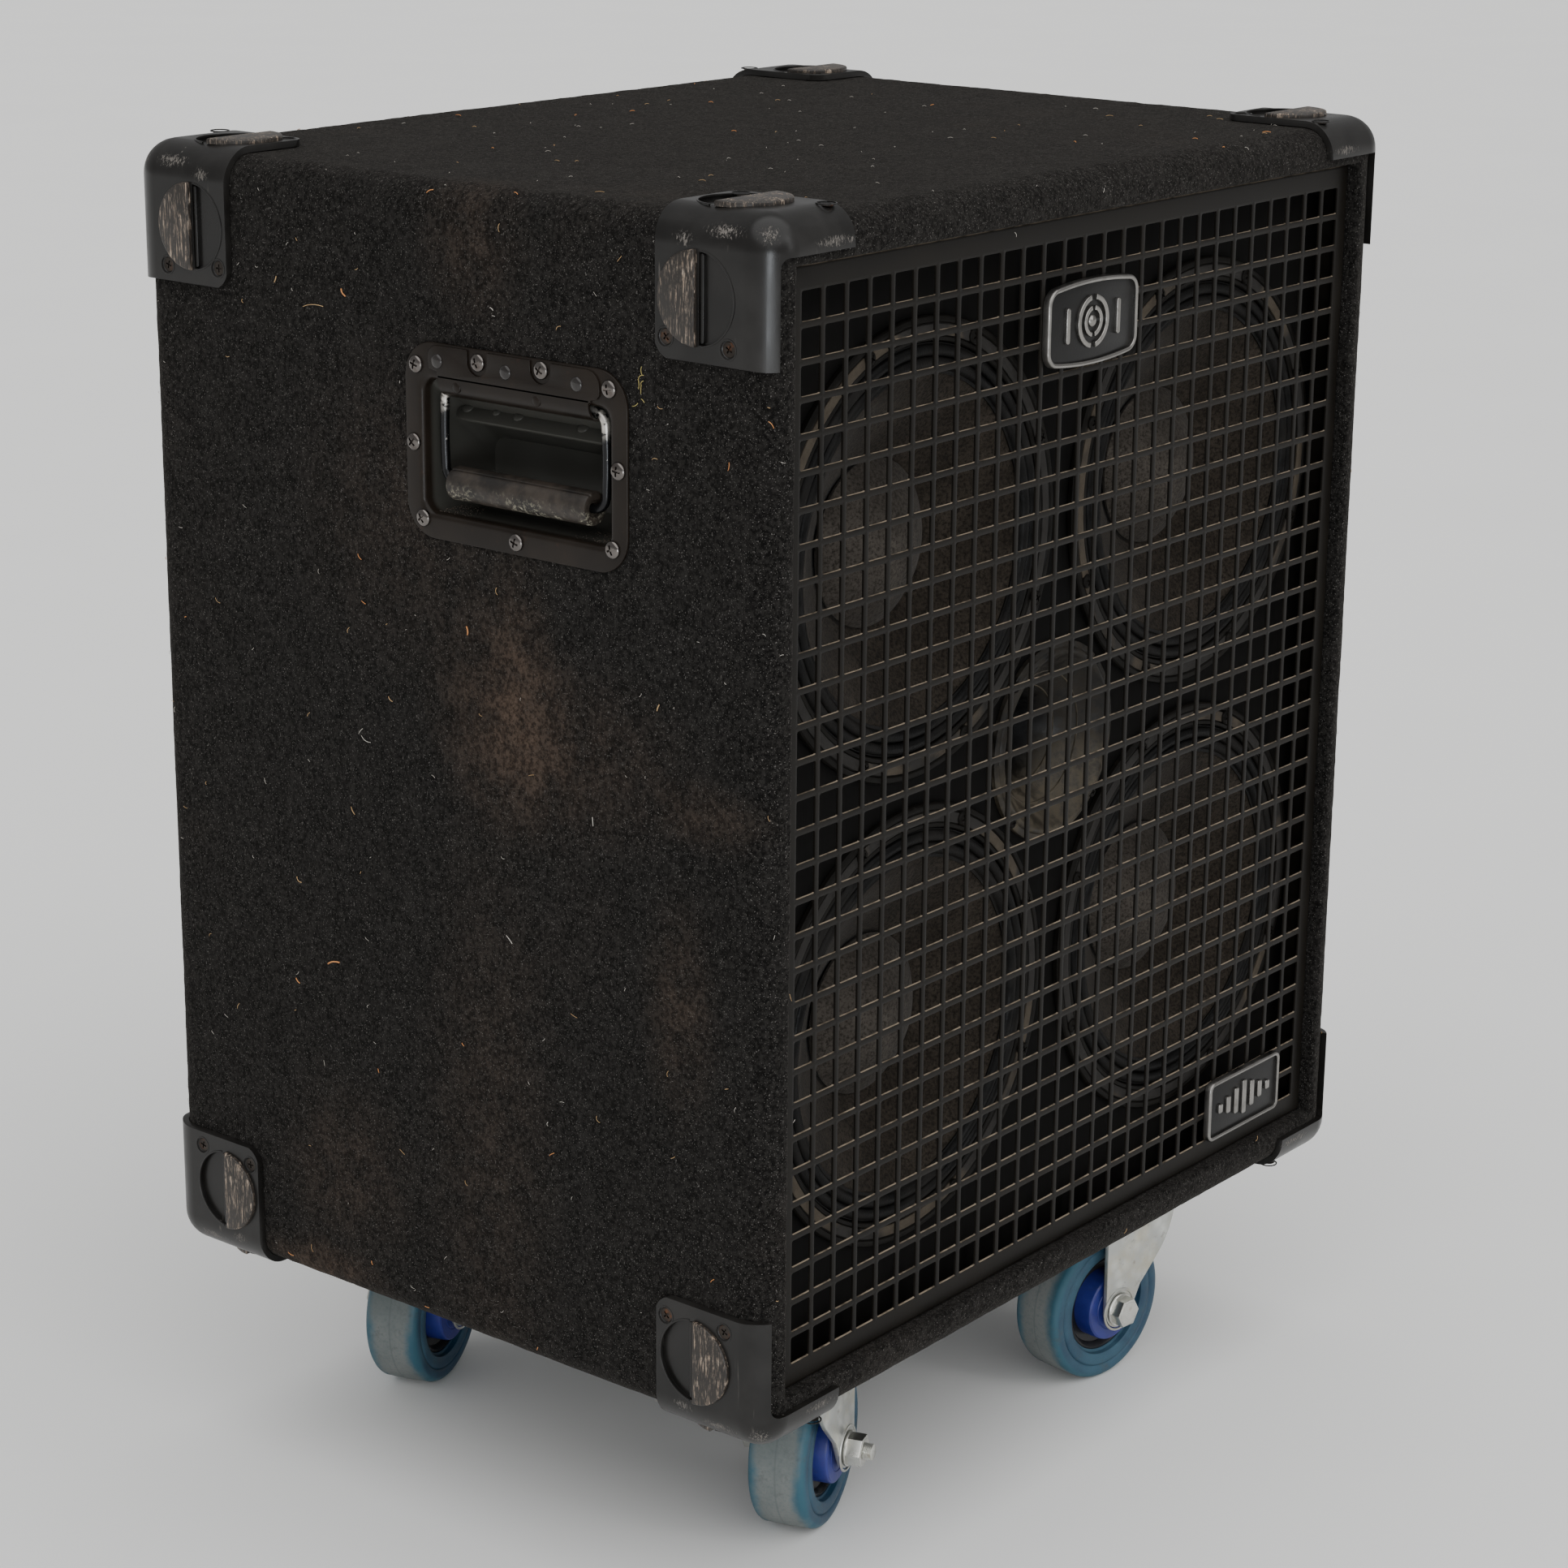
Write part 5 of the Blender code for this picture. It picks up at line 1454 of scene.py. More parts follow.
def make_handle(word, paints, heads):
    """The pressed dish and all that is fixed to it, then the bail."""
    place = handle_frame(word)
    low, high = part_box(f"handle_dish_{word}")
    bm = bmesh.new()
    handle_dish(bm, place, (high.y - low.y, high.z - low.z))
    show(bm, f"handle_dish_{word}_steel", paints["handle"],
         replaces=[f"handle_dish_{word}"], angle=32)

    bracket = bmesh.new()
    add_slab(bracket, bracket_outline(), PLATE_FACE - 0.0002, BRACKET_FACE, 0.0004, place)
    add_loft(bracket, [[(u, v, w) for w, v in bracket_lip()] for u in (-0.0535, 0.0535)], place)
    for u in (0.040, -0.017):
        add_turned(bracket, domed(0.0030, 0.0011), 20, place @ moved(u, 0.0315, PLATE_FACE + 0.0008))
    half, bore = 0.0481, 0.0031
    eye = [(0.0052, 0.0006 - half), (0.0052, half - 0.0006), (0.0046, half), (bore, half), (bore, -half)]
    eye.append((0.0046, -half))
    add_turned(bracket, eye, 32, place @ moved(0, *BARREL) @ spun(math.pi / 2, "Y"), closed=True)
    show(bracket, f"handle_bracket_{word}", paints["handle"], angle=38)

    band = bmesh.new()
    tilt = place @ moved(0, 0.0150, -0.0200) @ spun(math.radians(-50), "X")
    add_slab(band, rounded_rectangle(0.1180, 0.0150, 0.0050, steps=5), -0.0006, 0.0010, 0.0004, tilt)
    for u, radius in ((0.053, 0.0037), (0.032, 0.0026), (0.016, 0.0035), (-0.030, 0.0037)):
        add_turned(band, domed(radius, 0.0014), 24, tilt @ moved(u, 0.0005, 0.0009))
    show(band, f"handle_band_{word}", paints["handle"], angle=50)

    rivets = bmesh.new()
    for u in (0.054, 0.0045, -0.0455):
        add_turned(rivets, domed(0.0040, 0.0017), 28, place @ moved(u, 0.0440, PLATE_FACE + 0.0011))
    show(rivets, f"handle_rivets_{word}", paints["rivet"], angle=50)

    screws = bmesh.new()
    for i, (u, v) in enumerate((
        (0.0705, 0.0405), (0.0250, 0.0465), (-0.0200, 0.0480), (-0.0670, 0.0440), (0.0730, -0.0020),
        (-0.0730, 0.0020), (0.0670, -0.0430), (-0.0010, -0.0465), (-0.0690, -0.0400),
    )):
        stamp(screws, heads, place @ moved(u, v, PLATE_FACE) @ spun(0.9 * i + 0.3))
    show(screws, f"handle_screws_{word}", paints["handle_screw"], angle=35)
    make_pocket_dust(word, place, paints)
    make_bail(word, place, paints)


def make_pocket_dust(word, place, paints):
    """Grit on the lower lip of the pocket, thickest in its two corners."""
    dust = []
    rng = random.Random(DUST_SEED + (-1 if word == "left" else 1))
    for _ in range(DUST_COUNT):
        u = math.copysign(rng.triangular(0.034, 0.0605, 0.058), rng.random() - 0.45)
        w = rng.uniform(-0.020, -0.003)
        spot = place @ Vector((u, -0.0391 + max(0.0, -w - 0.0055) * 0.07, w))
        length = Vector((rng.uniform(-1, 1), rng.uniform(-1, 1), rng.uniform(0, 0.4))) * 0.0009
        dust.append((spot, spot + length, 0.00022))
    grains = needles(f"handle_dust_{word}", dust)
    show(grains, f"handle_dust_{word}", paints["pocket_dust"], angle=180)


def make_bail(word, place, paints):
    """Wire bail and its split grip, hanging against the plate."""
    body = f"handle_bail_{word}"
    low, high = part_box(body)
    grip_low, grip_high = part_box(f"handle_grip_{word}")
    side = -1 if word == "left" else 1
    middle = place.translation
    half = (high.y - low.y) / 2 - BAIL_WIRE
    axis_out = side * ((low.x + high.x) / 2 - middle.x)
    axis_up = high.z - BAIL_WIRE - middle.z
    grip_up = (grip_low.z + grip_high.z) / 2 - middle.z
    points = [(half - 0.020, axis_up)]
    points += arc((half - BAIL_BEND, axis_up - BAIL_BEND), BAIL_BEND, 90, 0, 8)
    for t in [i / 8 for i in range(1, 8)]:
        v = axis_up - BAIL_BEND + (grip_up - axis_up + 2 * BAIL_BEND) * t
        points.append((half + 0.0006 * math.sin(math.pi * t), v))
    points += arc((half - BAIL_BEND, grip_up + BAIL_BEND), BAIL_BEND, 0, -90, 8)
    points += [(0.040, grip_up)]
    path = points + [(-u, v) for u, v in reversed(points)]
    wire = add_tube(bmesh.new(), [place @ Vector((u, v, axis_out)) for u, v in path], BAIL_WIRE, 20)
    show(wire, f"handle_wire_{word}", paints["bail"], body, [body], 60)

    radius, end = (grip_high.x - grip_low.x) / 2 - 0.0001, (grip_high.y - grip_low.y) / 2
    profile = [
        (0.0028, 0.0022 - end), (0.0045, 0.0022 - end), (0.0052, 0.0004 - end),
        (radius - 0.0016, -end), (radius - 0.0004, 0.0005 - end), (radius, 0.0018 - end),
    ]
    straight = [(radius, 0.0018 - end + 2 * (end - 0.0018) * i / 26) for i in range(1, 26)]
    profile = profile + straight + [(r, -h) for r, h in reversed(profile)]
    along = place @ moved(0, grip_up, axis_out) @ spun(math.pi / 2, "Y")
    grip = add_turned(bmesh.new(), profile, 120, along, closed=True)
    centre = along.translation
    for vertex in grip.verts:
        away = vertex.co - centre
        across = Vector((away.x * side, 0, away.z))
        if across.length < 0.004:
            continue
        turn = math.degrees(math.atan2(across.z, across.x))
        slit = 0.0009 * math.exp(-((turn - 62) / 2.2) ** 2)
        wobble = 0.00012 * noise.noise(vertex.co * 90.0)
        shrink = 1 - (slit + max(0.0, wobble)) / across.length
        vertex.co.x = centre.x + away.x * shrink
        vertex.co.z = centre.z + away.z * shrink
    show(grip, f"handle_rubber_{word}", paints["grip"], body, [f"handle_grip_{word}"], 50)


def make_handles(paints):
    heads = cross_head(0.0048, 0.0024)
    for word in ("left", "right"):
        make_handle(word, paints, heads)


# ---------------------------------------------------------------- loudspeakers and horn

def smooth_curve(points, steps):
    """Points of a Catmull-Rom curve through the given ones."""
    ends = [points[0]] + list(points) + [points[-1]]
    found = []
    for a, b, c, d in zip(ends, ends[1:], ends[2:], ends[3:]):
        for i in range(steps):
            t = i / steps
            square, cube = t * t, t ** 3
            weights = (2 * square - t - cube, 2 - 5 * square + 3 * cube, t + 4 * square - 3 * cube, cube - square)
            found.append(tuple(
                0.5 * sum(weight * value for weight, value in zip(weights, values))
                for values in zip(a, b, c, d)
            ))
    return found + [tuple(points[-1])]


def driver_frame_mesh():
    """Pressed basket with a stepped rim, six windows and the magnet behind."""
    profile = [
        (DRIVER_RIM, 0.0007), (DRIVER_RIM, 0.0033), (0.1268, 0.0043), (0.1255, 0.0047), (0.1240, 0.0046),
        (0.1232, 0.0036), (0.1165, 0.0035), (0.1158, 0.0040), (0.1140, 0.0040), (0.1134, 0.0033),
        (0.1131, 0.0004), (0.1090, -0.0035), (0.1010, -0.0095),
        (0.0900, -0.0260), (0.0760, -0.0480), (0.0640, -0.0660), (0.0600, -0.0680), (0.0207, -0.0680),
        (0.0207, -0.0960), (0.0173, -0.0960), (0.0173, -0.0660), (0.0150, -0.0655), (0, -0.0655),
        (0, -0.1155),
        (0.0690, -0.1155), (0.0706, -0.1140), (0.0708, -0.0990), (0.0640, -0.0980), (0.0640, -0.0800),
        (0.0700, -0.0790), (0.0700, -0.0730), (0.0660, -0.0700), (0.0785, -0.0500), (0.0925, -0.0280),
        (0.1036, -0.0110), (0.1120, -0.0035), (0.1140, 0.0004),
    ]
    body = to_object(add_turned(bmesh.new(), profile, closed=True))
    outline = rounded_rectangle(0.066, 0.032, 0.008, (0, -0.037), 4)
    window = [[(along, u * grow, v) for u, v in outline] for along, grow in ((0.05, 0.65), (0.125, 1.1))]
    for sixth in range(6):
        combine(body, add_loft(bmesh.new(), window, spun(math.pi / 3 * sixth)), "DIFFERENCE")
    return only_mesh(body)


def cone_profile():
    """Paper cone with its former, from the surround's edge inwards, then back along the rear."""
    front = smooth_curve([(0.0972, 0.0012), (0.0890, -0.0030), (0.0700, -0.0165), (0.0440, -0.0335)], 6)
    back = [(r + 0.0003, z - 0.0012) for r, z in reversed(front)]
    former = [(0.0197, -0.0500), (0.0197, -0.0830), (0.0186, -0.0830), (0.0186, -0.0510), (0.0430, -0.0347)]
    return front + former + back


def cap_profile():
    """Dust cap: its inside, the skirt glued to the cone and the domed face."""
    radius, depth, apex = 0.0455, -0.0275, -0.0085
    left = [1 - i / 14 for i in range(15)]
    curve = [(radius * t ** 0.98, depth + (apex - depth) * (1 - t ** 2.1)) for t in left]
    skirt = [(0.0430, -0.0318), (0.0462, -0.0305), (0.0468, -0.0285)]
    return [(0.0, apex - 0.0012), (0.0250, apex - 0.0065), (0.0420, -0.0290)] + skirt + curve


def surround_section():
    """Double roll with its flat edges, in (radius, height), going out, with the underside coming back."""
    tops = [(SURROUND_INNER - 0.0008, 0.0020), (0.0982, 0.0021)]
    for middle, after in ((0.1017, (0.1052, 0.0020)), (0.1087, (0.1121, 0.0021))):
        for angle in [math.pi * i / 8 for i in range(1, 8)]:
            tops.append((middle - 0.0033 * math.cos(angle), 0.0021 + 0.0030 * math.sin(angle)))
        tops.append(after)
    tops.append((SURROUND_OUTER, 0.0020))
    return tops + [(r, z - 0.0007) for r, z in reversed(tops)]


def surround_part_mesh():
    """One sector of the surround, centred on local +X."""
    section = surround_section()
    steps = ROUND_STEPS // SURROUND_PARTS
    half = math.pi / SURROUND_PARTS
    rings = []
    for i in range(steps + 1):
        turn = -half + 2 * half * i / steps
        rings.append([(r * math.cos(turn), r * math.sin(turn), z) for r, z in section])
    return only_mesh(to_object(add_loft(bmesh.new(), rings)))


def pose_mesh(mesh, matrix, name):
    """A new object with the mesh already moved into place."""
    made = new_object(name, mesh.copy())
    made.data.transform(matrix)
    return made


def make_drivers(paints):
    """Four loudspeakers. The cone and its cap ride on the cone's body."""
    frame_mesh = driver_frame_mesh()
    part_mesh = surround_part_mesh()
    screw = cross_head(0.0042, 0.0024)
    ring = [
        (0.1168, 0.0032), (0.1168, 0.0043), (0.1172, 0.0046), (0.1222, 0.0046), (0.1226, 0.0043),
        (0.1226, 0.0032),
    ]
    for tag in ("top_left", "top_right", "bottom_left", "bottom_right"):
        node = f"driver_basket_{tag}"
        body = f"cone_{tag}"
        place = front_place(node, BAFFLE_FACE)
        basket = pose_mesh(frame_mesh, place, "basket")
        show(basket, f"driver_frame_{tag}", paints["frame"], replaces=[node], angle=32)
        gasket = add_turned(bmesh.new(), ring, ROUND_STEPS, place)
        show(gasket, f"driver_gasket_{tag}", paints["gasket"])
        screws = bmesh.new()
        for i in range(8):
            turn = math.pi / 4 * (i + 0.5)
            stamp(screws, screw, place @ spun(turn) @ moved(DRIVER_SCREWS, 0, 0.0044) @ spun(turn * 2))
        show(screws, f"driver_screws_{tag}", paints["frame"], angle=35)
        cone = add_turned(bmesh.new(), cone_profile(), closed=True)
        show(cone, f"cone_paper_{tag}", paints["cone"], body, [f"driver_cone_{tag}"],
             matrix=place)
        cap = add_turned(bmesh.new(), cap_profile())
        show(cap, f"dust_cap_{tag}", paints["cap"], body, angle=50, matrix=place)
        make_surround(tag, place, part_mesh, paints)


def make_surround(tag, place, mesh, paints):
    """Sectors of the surround between the fixed rim and the cone, each along its own radius."""
    step = 2 * math.pi / SURROUND_PARTS
    for i in range(SURROUND_PARTS):
        turned_place = place @ spun(step * i)
        part = pose_mesh(mesh, turned_place, f"surround_{tag}_{i + 1:02d}")
        part.data.materials.clear()
        part.data.materials.append(paints["surround"])
        part.data.shade_smooth()
        part.data.set_sharp_from_angle(angle=math.radians(60))
        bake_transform(part)
        if i == 0:
            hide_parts(f"driver_surround_{tag}")


def make_horn(paints):
    """Round bell with its throat, rolled rim and the compression driver behind, in one turned piece."""
    place = front_place("horn", BAFFLE_FACE)
    inside = [(0.0125, -0.0590), (0.0180, -0.0400), (0.0285, -0.0190), (0.0430, -0.0040), (0.0508, 0.0042)]
    profile = [(0, -0.0590)] + smooth_curve(inside, 6) + [
        (0.0518, 0.0052), (0.0530, 0.0055), (0.0543, 0.0050), (0.0552, 0.0036), (0.0580, 0.0033),
        (0.0588, 0.0028), (0.0590, 0.0004), (0.0530, 0.0004), (0.0500, -0.0050), (0.0340, -0.0250),
        (0.0230, -0.0450), (0.0190, -0.0640), (0.0360, -0.0650), (0.0370, -0.0660), (0.0370, -0.0820),
        (0.0355, -0.0835), (0.0355, -0.0860), (0.0370, -0.0875), (0.0370, -0.1035), (0.0355, -0.1049),
        (0, -0.1049),
    ]
    bell = add_turned(bmesh.new(), profile)
    show(bell, "horn_bell", paints["horn"], replaces=["horn"], matrix=place)
    ridges = bmesh.new()
    for middle in ((0.0290, -0.0184), (0.0390, -0.0080)):
        add_turned(ridges, circle(0.0006, 6, middle), ROUND_STEPS, place, closed=True)
    show(ridges, "horn_ridges", paints["horn"], angle=60)
    head = cross_head(0.0032, 0.0016)
    screws = bmesh.new()
    for i in range(4):
        turn = math.pi / 2 * i + math.pi / 4
        stamp(screws, head, place @ moved(HORN_SCREWS * math.cos(turn), HORN_SCREWS * math.sin(turn), 0.0032))
    show(screws, "horn_screws", paints["frame"], angle=35)


# ---------------------------------------------------------------- rear sockets

def make_rear(paints):
    """Dish in the rear panel with two sockets and the level marks. Local X runs left seen from behind."""
    low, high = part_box("socket_dish")
    middle = (low + high) / 2
    place = Matrix(((-1, 0, 0, middle.x), (0, 0, 1, HIGH.y), (0, 1, 0, middle.z), (0, 0, 0, 1)))
    wide, tall = high.x - low.x, high.z - low.z
    floor = low.y + 0.022 - HIGH.y
    mouth = -2 * DISH_RIM
    sections = [
        (mouth + 0.002, 0.008, floor - 0.002), (mouth + 0.004, 0.009, GAP), (0, DISH_ROUND, GAP),
        (0, DISH_ROUND, 0.0016), (-0.0008, 0.0117, 0.0021), (-0.0020, 0.0112, 0.0023),
        (mouth + 0.004, 0.009, 0.0023), (mouth + 0.001, 0.008, 0.0016), (mouth, 0.008, 0.0),
        (mouth - 0.003, 0.007, floor + 0.003), (mouth - 0.006, 0.006, floor),
    ]
    rings = []
    for grow, radius, z in sections:
        rings.append([(u, v, z) for u, v in rounded_rectangle(wide + grow, tall + grow, radius, steps=8)])
    dish = add_loft(bmesh.new(), rings, place)
    show(dish, "socket_dish_panel", paints["dish"], replaces=["socket_dish"], angle=38)

    jacks, nuts, marks = bmesh.new(), bmesh.new(), bmesh.new()
    collar = [
        (0.0033, -0.020), (0.0033, 0.0030), (0.0038, 0.0038), (0.0048, 0.0038), (0.0052, 0.0032),
        (0.0052, -0.020),
    ]
    for x in JACK_X:
        spot = place @ moved(middle.x - x, 0, floor)
        add_turned(jacks, collar, 32, spot, closed=True)
        add_slab(nuts, circle(0.0078, 6), -0.0002, 0.0020, 0.0004, spot)
        add_turned(nuts, [(0.0088, -0.0002), (0.0088, 0.0004), (0.0084, 0.0006), (0, 0.0006)], 32, spot)
    show(jacks, "jack_sockets", paints["knob"])
    show(nuts, "jack_nuts", paints["bright"], angle=30)

    knob_low, knob_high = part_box("level_knob")
    knob_spot = place @ moved(middle.x - (knob_low.x + knob_high.x) / 2, 0, floor)
    turns = [spun(math.radians(240 - 30 * i)) for i in range(11)]
    ticks = [(knob_spot @ turn @ moved(0.0142, 0, 0), 0.0034, 0.0007) for turn in turns]
    ticks += [(place @ moved(middle.x - x, -0.0165, floor), 0.0120, 0.0008) for x in JACK_X]
    for spot, length, width in ticks:
        add_slab(marks, rounded_rectangle(length, width, 0.0003, steps=3), -0.0002, 0.00025, 0.0001, spot)
    show(marks, "socket_marks", paints["legend"], angle=60)

    head = cross_head(0.0042, 0.0015)
    screws = bmesh.new()
    for u, v in itertools.product((-1, 1), (-1, 1)):
        spot = place @ moved(u * (wide / 2 - 0.0065), v * (tall / 2 - 0.0065), 0.0022)
        stamp(screws, head, spot @ spun(0.5 * u + v))
    show(screws, "socket_dish_screws", paints["handle_screw"], angle=35)
    make_knob(knob_low, knob_high, paints)


def make_knob(low, high, paints):
    """Fluted knob with a raised pointer, about its axis."""
    place = moved((low.x + high.x) / 2, low.y, (low.z + high.z) / 2) @ TO_REAR
    radius, height = (high.x - low.x) / 2, high.y - low.y - 0.0008
    profile = [
        (0, 0), (radius - 0.0004, 0), (radius - 0.0001, 0.0005), (radius - 0.0001, 0.0026),
        (radius - 0.0012, 0.0031), (radius - 0.0018, height - 0.0010), (radius - 0.0025, height - 0.0002),
        (radius - 0.0036, height), (0, height),
    ]
    knob = add_turned(bmesh.new(), profile)
    for vertex in knob.verts:
        if 0.0030 < vertex.co.z < height - 0.0005 and vertex.co.xy.length > 0.002:
            turn = math.atan2(vertex.co.y, vertex.co.x)
            factor = 1 - KNOB_FLUTE_DEPTH * (0.5 + 0.5 * math.cos(KNOB_FLUTES * turn)) / radius
            vertex.co.x *= factor
            vertex.co.y *= factor
    show(knob, "knob_body", paints["knob"], "level_knob", ["level_knob"], matrix=place)
    pointer = rounded_rectangle(0.0011, 0.0062, 0.0005, (0, 0.0040), 4)
    line = add_slab(bmesh.new(), pointer, height - 0.0003, height + 0.0003, 0.0001, place @ spun(math.pi))
    show(line, "knob_pointer", paints["legend"], "level_knob", angle=60)


# ---------------------------------------------------------------- castors

def slot_places(length, width):
    """Where the plate's four slots lie about the kingpin."""
    for x, y in itertools.product((-1, 1), (-1, 1)):
        yield x * (length / 2 - SLOT_INSET[0]), y * (width / 2 - SLOT_INSET[1])


def castor_plate_mesh(length, width):
    """Slotted top plate with a pressed race cup, rounded rim and the kingpin's nut."""
    outline = rounded_rectangle(length, width, 0.008)
    body = to_object(add_slab(bmesh.new(), outline, -GAP - CASTOR_SHEET, -GAP, 0.0007, both=True))
    for spot in slot_places(length, width):
        slot = rounded_rectangle(0.0085, 0.0125, 0.0042, spot, 6)
        combine(body, prism(slot, "Z", -0.01, 0.01), "DIFFERENCE")
    cup = [
        (0, -0.0028), (0.0340, -0.0028), (0.0336, -0.0045), (0.0325, -0.0066), (0.0305, -0.0080),
        (0.0270, -0.0086), (0.0058, -0.0086), (0.0058, -0.0127), (0.0100, -0.0127), (0.0104, -0.0132),
        (0.0104, -0.0165), (0.0096, -0.0178), (0, -0.0180),
    ]
    return add_turned(stamp(bmesh.new(), only_mesh(body), Matrix()), cup, 64)


def fork_mesh(trail, drop):
    """Pressed fork: a round head with a groove and two shaped legs. It trails along +X."""
    end, outside = 0.012, FORK_INNER + FORK_SHEET
    back = [(0.0190, -0.0680), (0.0065, -0.0560), (-0.0055, -0.0430), (-0.0130, -0.0270), (-0.0160, -0.0094)]
    leg = [(trail + end, -0.0094)] + arc((trail, drop), end, 0, -180 * 0.82, 14) + smooth_curve(back, 4)[1:]
    body = to_object(prism(leg, "Y", -outside, -FORK_INNER))
    combine(body, prism(leg, "Y", FORK_INNER, outside), "UNION")
    head = [(0.044, -0.0270), (0.044, 0.0270)] + arc((0, 0), 0.0330, 55, 305, 28)
    combine(body, prism(head, "Z", -0.0122, -0.0092), "UNION")
    combine(body, prism(circle(0.0064, 24), "Z", -0.03, 0.01), "DIFFERENCE")
    combine(body, prism(circle(0.0056, 24, (trail, drop)), "Y", -0.05, 0.05), "DIFFERENCE")
    bm = stamp(bmesh.new(), only_mesh(soften(body, 0.0007, 2, 40)), Matrix())
    for ridge in ((0.0300, -0.0092), (0.0200, -0.0122)):
        add_turned(bm, circle(0.0011, 8, ridge), 64, closed=True)
    for side in (-1, 1):
        boss = moved(trail, side * outside, drop) @ TO_FRONT
        add_turned(bm, circle(0.0008, 8, (0.0135, 0)), 48, boss, closed=True)
    return bm


def tyre_profile(radius):
    """Tyre with rounded shoulders and a groove in each side, down to its bore."""
    half, shoulder = TYRE_HALF, 0.0052
    side = [(radius, 0.0), (radius - 0.0001, half * 0.45), (radius - 0.0004, half * 0.68)]
    side += arc((radius - 0.0054, half - shoulder), shoulder, 12, 90, 6)
    side += [(0.0428, half), (0.0418, half - 0.0004), (0.0411, half - 0.0013), (0.0404, half - 0.0004)]
    side += [(0.0394, half), (0.0345, half - 0.0002), (0.0334, half - 0.0010), (0.0330, 0.0140)]
    side += [(0.0312, 0.0138)]
    return side[::-1] + [(r, -h) for r, h in side[1:]]


def rim_profile():
    """Dished web between hub and tyre."""
    side = [(0.0308, 0.0136), (0.0296, 0.0140), (0.0288, 0.0132), (0.0270, 0.0100), (0.0222, 0.0092)]
    return side[::-1] + [(r, -h) for r, h in side]


def hub_profile():
    """Hub with a groove in each face and the axle's bore."""
    side = [
        (0.0223, 0.0085), (0.0222, 0.0200), (0.0218, 0.0214), (0.0208, 0.0222), (0.0150, 0.0223),
        (0.0147, 0.0219), (0.0143, 0.0219), (0.0140, 0.0223), (0.0098, 0.0223), (0.0095, 0.0214),
        (0.0058, 0.0214),
    ]
    return side + [(r, -h) for r, h in reversed(side)]


def bolt_mesh():
    """Hexagon bolt and nut with washers, spacers and a threaded end. The head is towards +Y."""
    inside, outside = FORK_INNER - 2 * GAP, FORK_INNER + FORK_SHEET + GAP
    bm = bmesh.new()
    start, stop, tip = -outside - 0.008, outside + 0.004, -outside - 0.016
    add_turned(bm, [(0, start), (0.0050, start), (0.0050, stop), (0, stop)], 32, TO_REAR)
    thread = [(0.0050, start)]
    for z in [start - 0.0005 - 0.0075 * i / 9 for i in range(9)]:
        thread += [(0.0045, z), (0.0050, z - 0.0004)]
    add_turned(bm, thread + [(0.0043, tip), (0, tip)], 32, TO_REAR)
    for turn, thick in ((TO_FRONT, 0.0088), (TO_REAR, 0.0066)):
        spacer = [(0, 0.0229), (0.0070, 0.0229), (0.0074, 0.0232), (0.0074, inside), (0, inside)]
        add_turned(bm, spacer, 40, turn)
        sections = ((0, 0), (0.0104, 0), (0.0108, 0.0004), (0.0108, 0.0012), (0.0104, 0.0016), (0, 0.0016))
        add_turned(bm, [(radius, outside + z) for radius, z in sections], 48, turn)
        crown = outside + 0.0016 + thick
        add_slab(bm, circle(0.0098, 6), outside + 0.0012, crown, 0.0006, turn, 2)
        add_turned(bm, [(0.0078, crown - 0.0004), (0.0074, crown + 0.0002), (0, crown + 0.0002)], 40, turn)
    return bm


def joint_place(name):
    return next(Vector(joint["pos_m"]) for joint in frame["joints"] if joint["name"] == name)


def make_castors(paints):
    """Four castors from one set of meshes, each turned the way its wheel trails."""
    names = [f"castor_{end}_{word}" for end in ("front", "rear") for word in ("left", "right")]
    low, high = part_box(f"{names[0]}_plate")
    length, width = high.x - low.x, high.y - low.y
    first_axle = joint_place(f"{names[0]}_wheel_spin")
    trail = (first_axle - joint_place(f"{names[0]}_swivel")).xy.length
    drop = first_axle.z - LOW.z
    tyre_low, tyre_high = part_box(f"{names[0]}_tyre")
    tyre = tyre_profile((tyre_high.z - tyre_low.z) / 2)
    patterns = {
        "mount": (castor_plate_mesh(length, width), "zinc", "zinc_plate", "plate"),
        "yoke": (fork_mesh(trail, drop), "zinc", "zinc_plate", "fork"),
        "axle": (bolt_mesh(), "bright", "bright_steel", "bolt"),
        "tread": (add_turned(bmesh.new(), tyre, closed=True), "tyre", "tyre_rubber", "tyre"),
        "rim": (add_turned(bmesh.new(), rim_profile(), closed=True), "rim", "hub_nylon", None),
        "boss": (add_turned(bmesh.new(), hub_profile(), closed=True), "hub", "hub_nylon", "hub"),
    }
    meshes = {}
    for kind, (bm, paint, _, _) in patterns.items():
        pattern = to_object(bm)
        pattern.data.materials.append(paints[paint])
        pattern.data.shade_smooth()
        pattern.data.set_sharp_from_angle(angle=math.radians(34))
        meshes[kind] = pattern
    head = cross_head(0.0052, 0.0020)
    screws = bmesh.new()
    for name in names:
        pin = joint_place(f"{name}_swivel")
        axle = joint_place(f"{name}_wheel_spin")
        top = moved(pin.x, pin.y, LOW.z)
        swivel = top @ spun(math.atan2(axle.y - pin.y, axle.x - pin.x))
        at_axle = swivel @ moved(trail, 0, drop)
        places = {"mount": (top, "cabinet")}
        places |= {"yoke": (swivel, f"{name}_swivel"), "axle": (at_axle, f"{name}_swivel")}
        for kind, (_, _, slot, node) in patterns.items():
            place, body = places.get(kind, (at_axle @ TO_REAR, f"{name}_wheel"))
            replaced = [f"{name}_{node}"] if node else []
            same_mesh(meshes[kind], f"{name}_{kind}", place, body, replaced)
        for x, y in slot_places(length, width):
            stamp(screws, head, top @ moved(x, y, -GAP - CASTOR_SHEET) @ DOWNWARDS)
    show(screws, "castor_screws", paints["bright"], angle=35)
    for pattern in meshes.values():
        bpy.data.objects.remove(pattern)


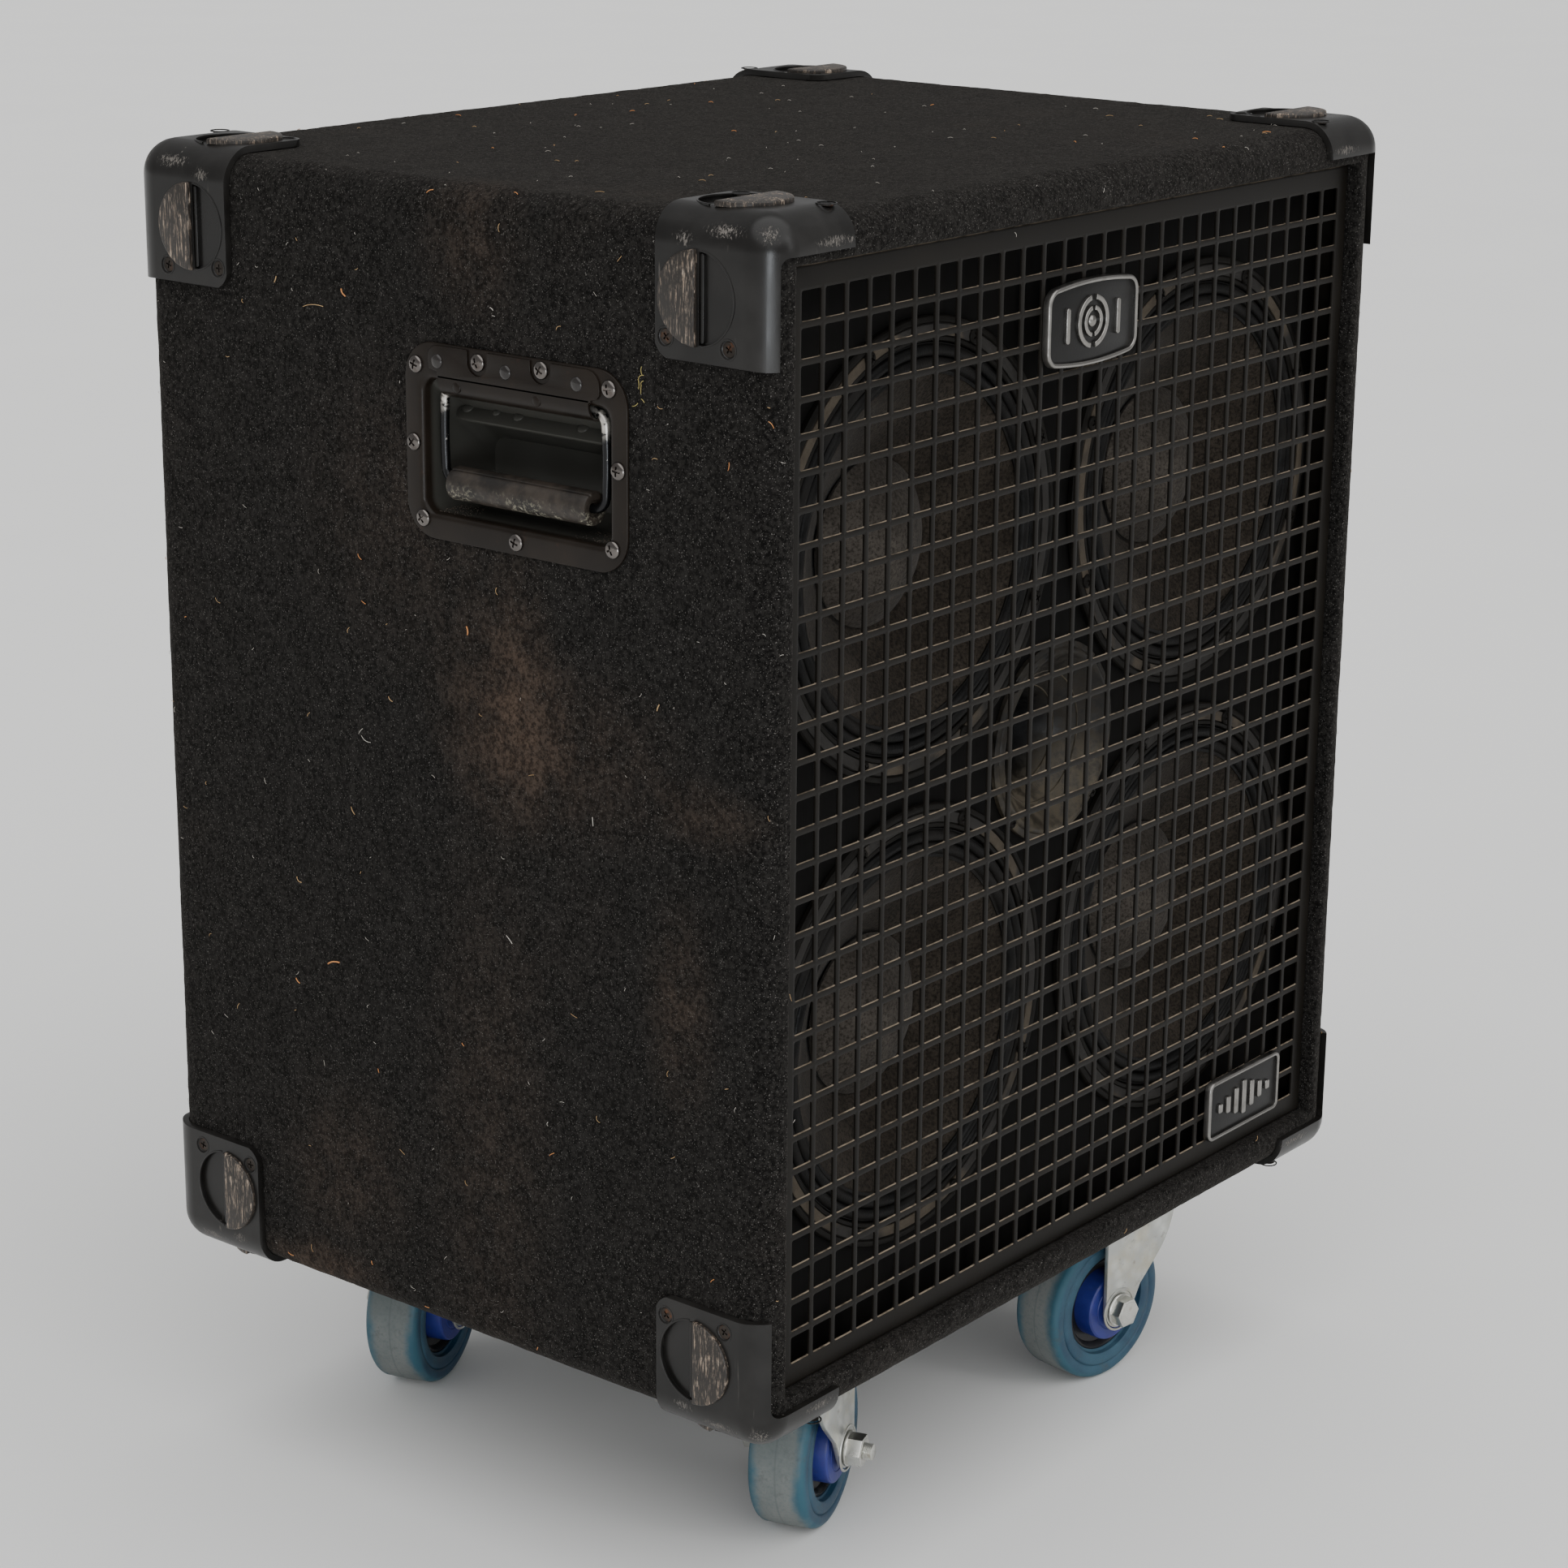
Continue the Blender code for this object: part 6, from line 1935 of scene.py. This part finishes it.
# ---------------------------------------------------------------- what stays from the frame

def paint_nodes(paints):
    """Materials for the frame's own nodes that stay visible."""
    boards = ["side_panel_left", "side_panel_right", "top_panel", "bottom_panel", "rear_panel"]
    for names, paint in ((boards, "plywood"), (["baffle_board"], "baffle"), (["crossover_board"], "board")):
        for name in names:
            node = frame["nodes"][name]
            node.data.materials.clear()
            node.data.materials.append(paints[paint])


# ---------------------------------------------------------------- stage

def make_camera():
    """The viewpoint that the constants at the top describe."""
    away = Vector((
        math.sin(CAMERA_AZIMUTH) * math.cos(CAMERA_ELEVATION),
        -math.cos(CAMERA_AZIMUTH) * math.cos(CAMERA_ELEVATION),
        math.sin(CAMERA_ELEVATION),
    ))
    right = (-away).cross(Vector((0, 0, 1))).normalized()
    up = right.cross(-away)
    tilted_right = math.cos(CAMERA_ROLL) * right + math.sin(CAMERA_ROLL) * up
    tilted_up = math.cos(CAMERA_ROLL) * up - math.sin(CAMERA_ROLL) * right
    place = Matrix((tilted_right, tilted_up, away)).transposed().to_4x4()
    place.translation = CAMERA_TARGET + away * CAMERA_DISTANCE
    camera = new_object("camera", bpy.data.cameras.new("camera"))
    camera.data.lens = CAMERA_LENS
    camera.data.sensor_width = 36
    camera.matrix_world = place
    bpy.context.scene.camera = camera


def area_light(name, place, towards, size, power, colour=(1, 1, 1)):
    light = bpy.data.lights.new(name, "AREA")
    light.shape = "RECTANGLE"
    light.size, light.size_y = size
    light.energy = power
    light.color = colour
    direction = Vector(towards) - Vector(place)
    turn = direction.to_track_quat("-Z", "Y").to_matrix().to_4x4()
    new_object(name, light).matrix_world = Matrix.Translation(place) @ turn


def make_stage():
    """Pale floor, even pale surroundings, a soft sun and two soft panels."""
    bm = bmesh.new()
    bmesh.ops.create_circle(bm, cap_ends=True, radius=40, segments=64)
    floor = to_object(bm, "floor")
    paint = Paint("floor_pale", 0.9)
    paint.colour(paint.mix(paint.noise(3, 2), (0.80, 0.80, 0.79), (0.84, 0.84, 0.83)))
    floor.data.materials.append(paint.material)
    world = bpy.data.worlds.new("studio")
    world.use_nodes = True
    background = world.node_tree.nodes["Background"]
    background.inputs["Color"].default_value = (1.0, 1.0, 1.0, 1)
    background.inputs["Strength"].default_value = WORLD_STRENGTH
    bpy.context.scene.world = world
    sun = bpy.data.lights.new("soft_sky", "SUN")
    sun.energy = SUN_STRENGTH
    sun.angle = SUN_ANGLE
    above = new_object("soft_sky", sun)
    above.matrix_world = Vector(SUN_FROM).to_track_quat("Z", "Y").to_matrix().to_4x4()
    middle = tuple(CENTRE)
    area_light("key_front", (0.5, -2.8, 1.7), middle, (0.7, 1.6), 9)
    area_light("left_strip", (-2.15, -1.95, 0.35), middle, (0.55, 0.9), 24, (0.90, 0.95, 1.0))


def main():
    paints = make_materials()
    make_camera()
    make_stage()
    make_carpet(paints)
    make_fuzz(paints)
    make_lint(paints)
    make_grille(paints)
    make_badges(paints)
    make_corners(paints)
    make_handles(paints)
    make_drivers(paints)
    make_horn(paints)
    make_rear(paints)
    make_castors(paints)
    paint_nodes(paints)


main()
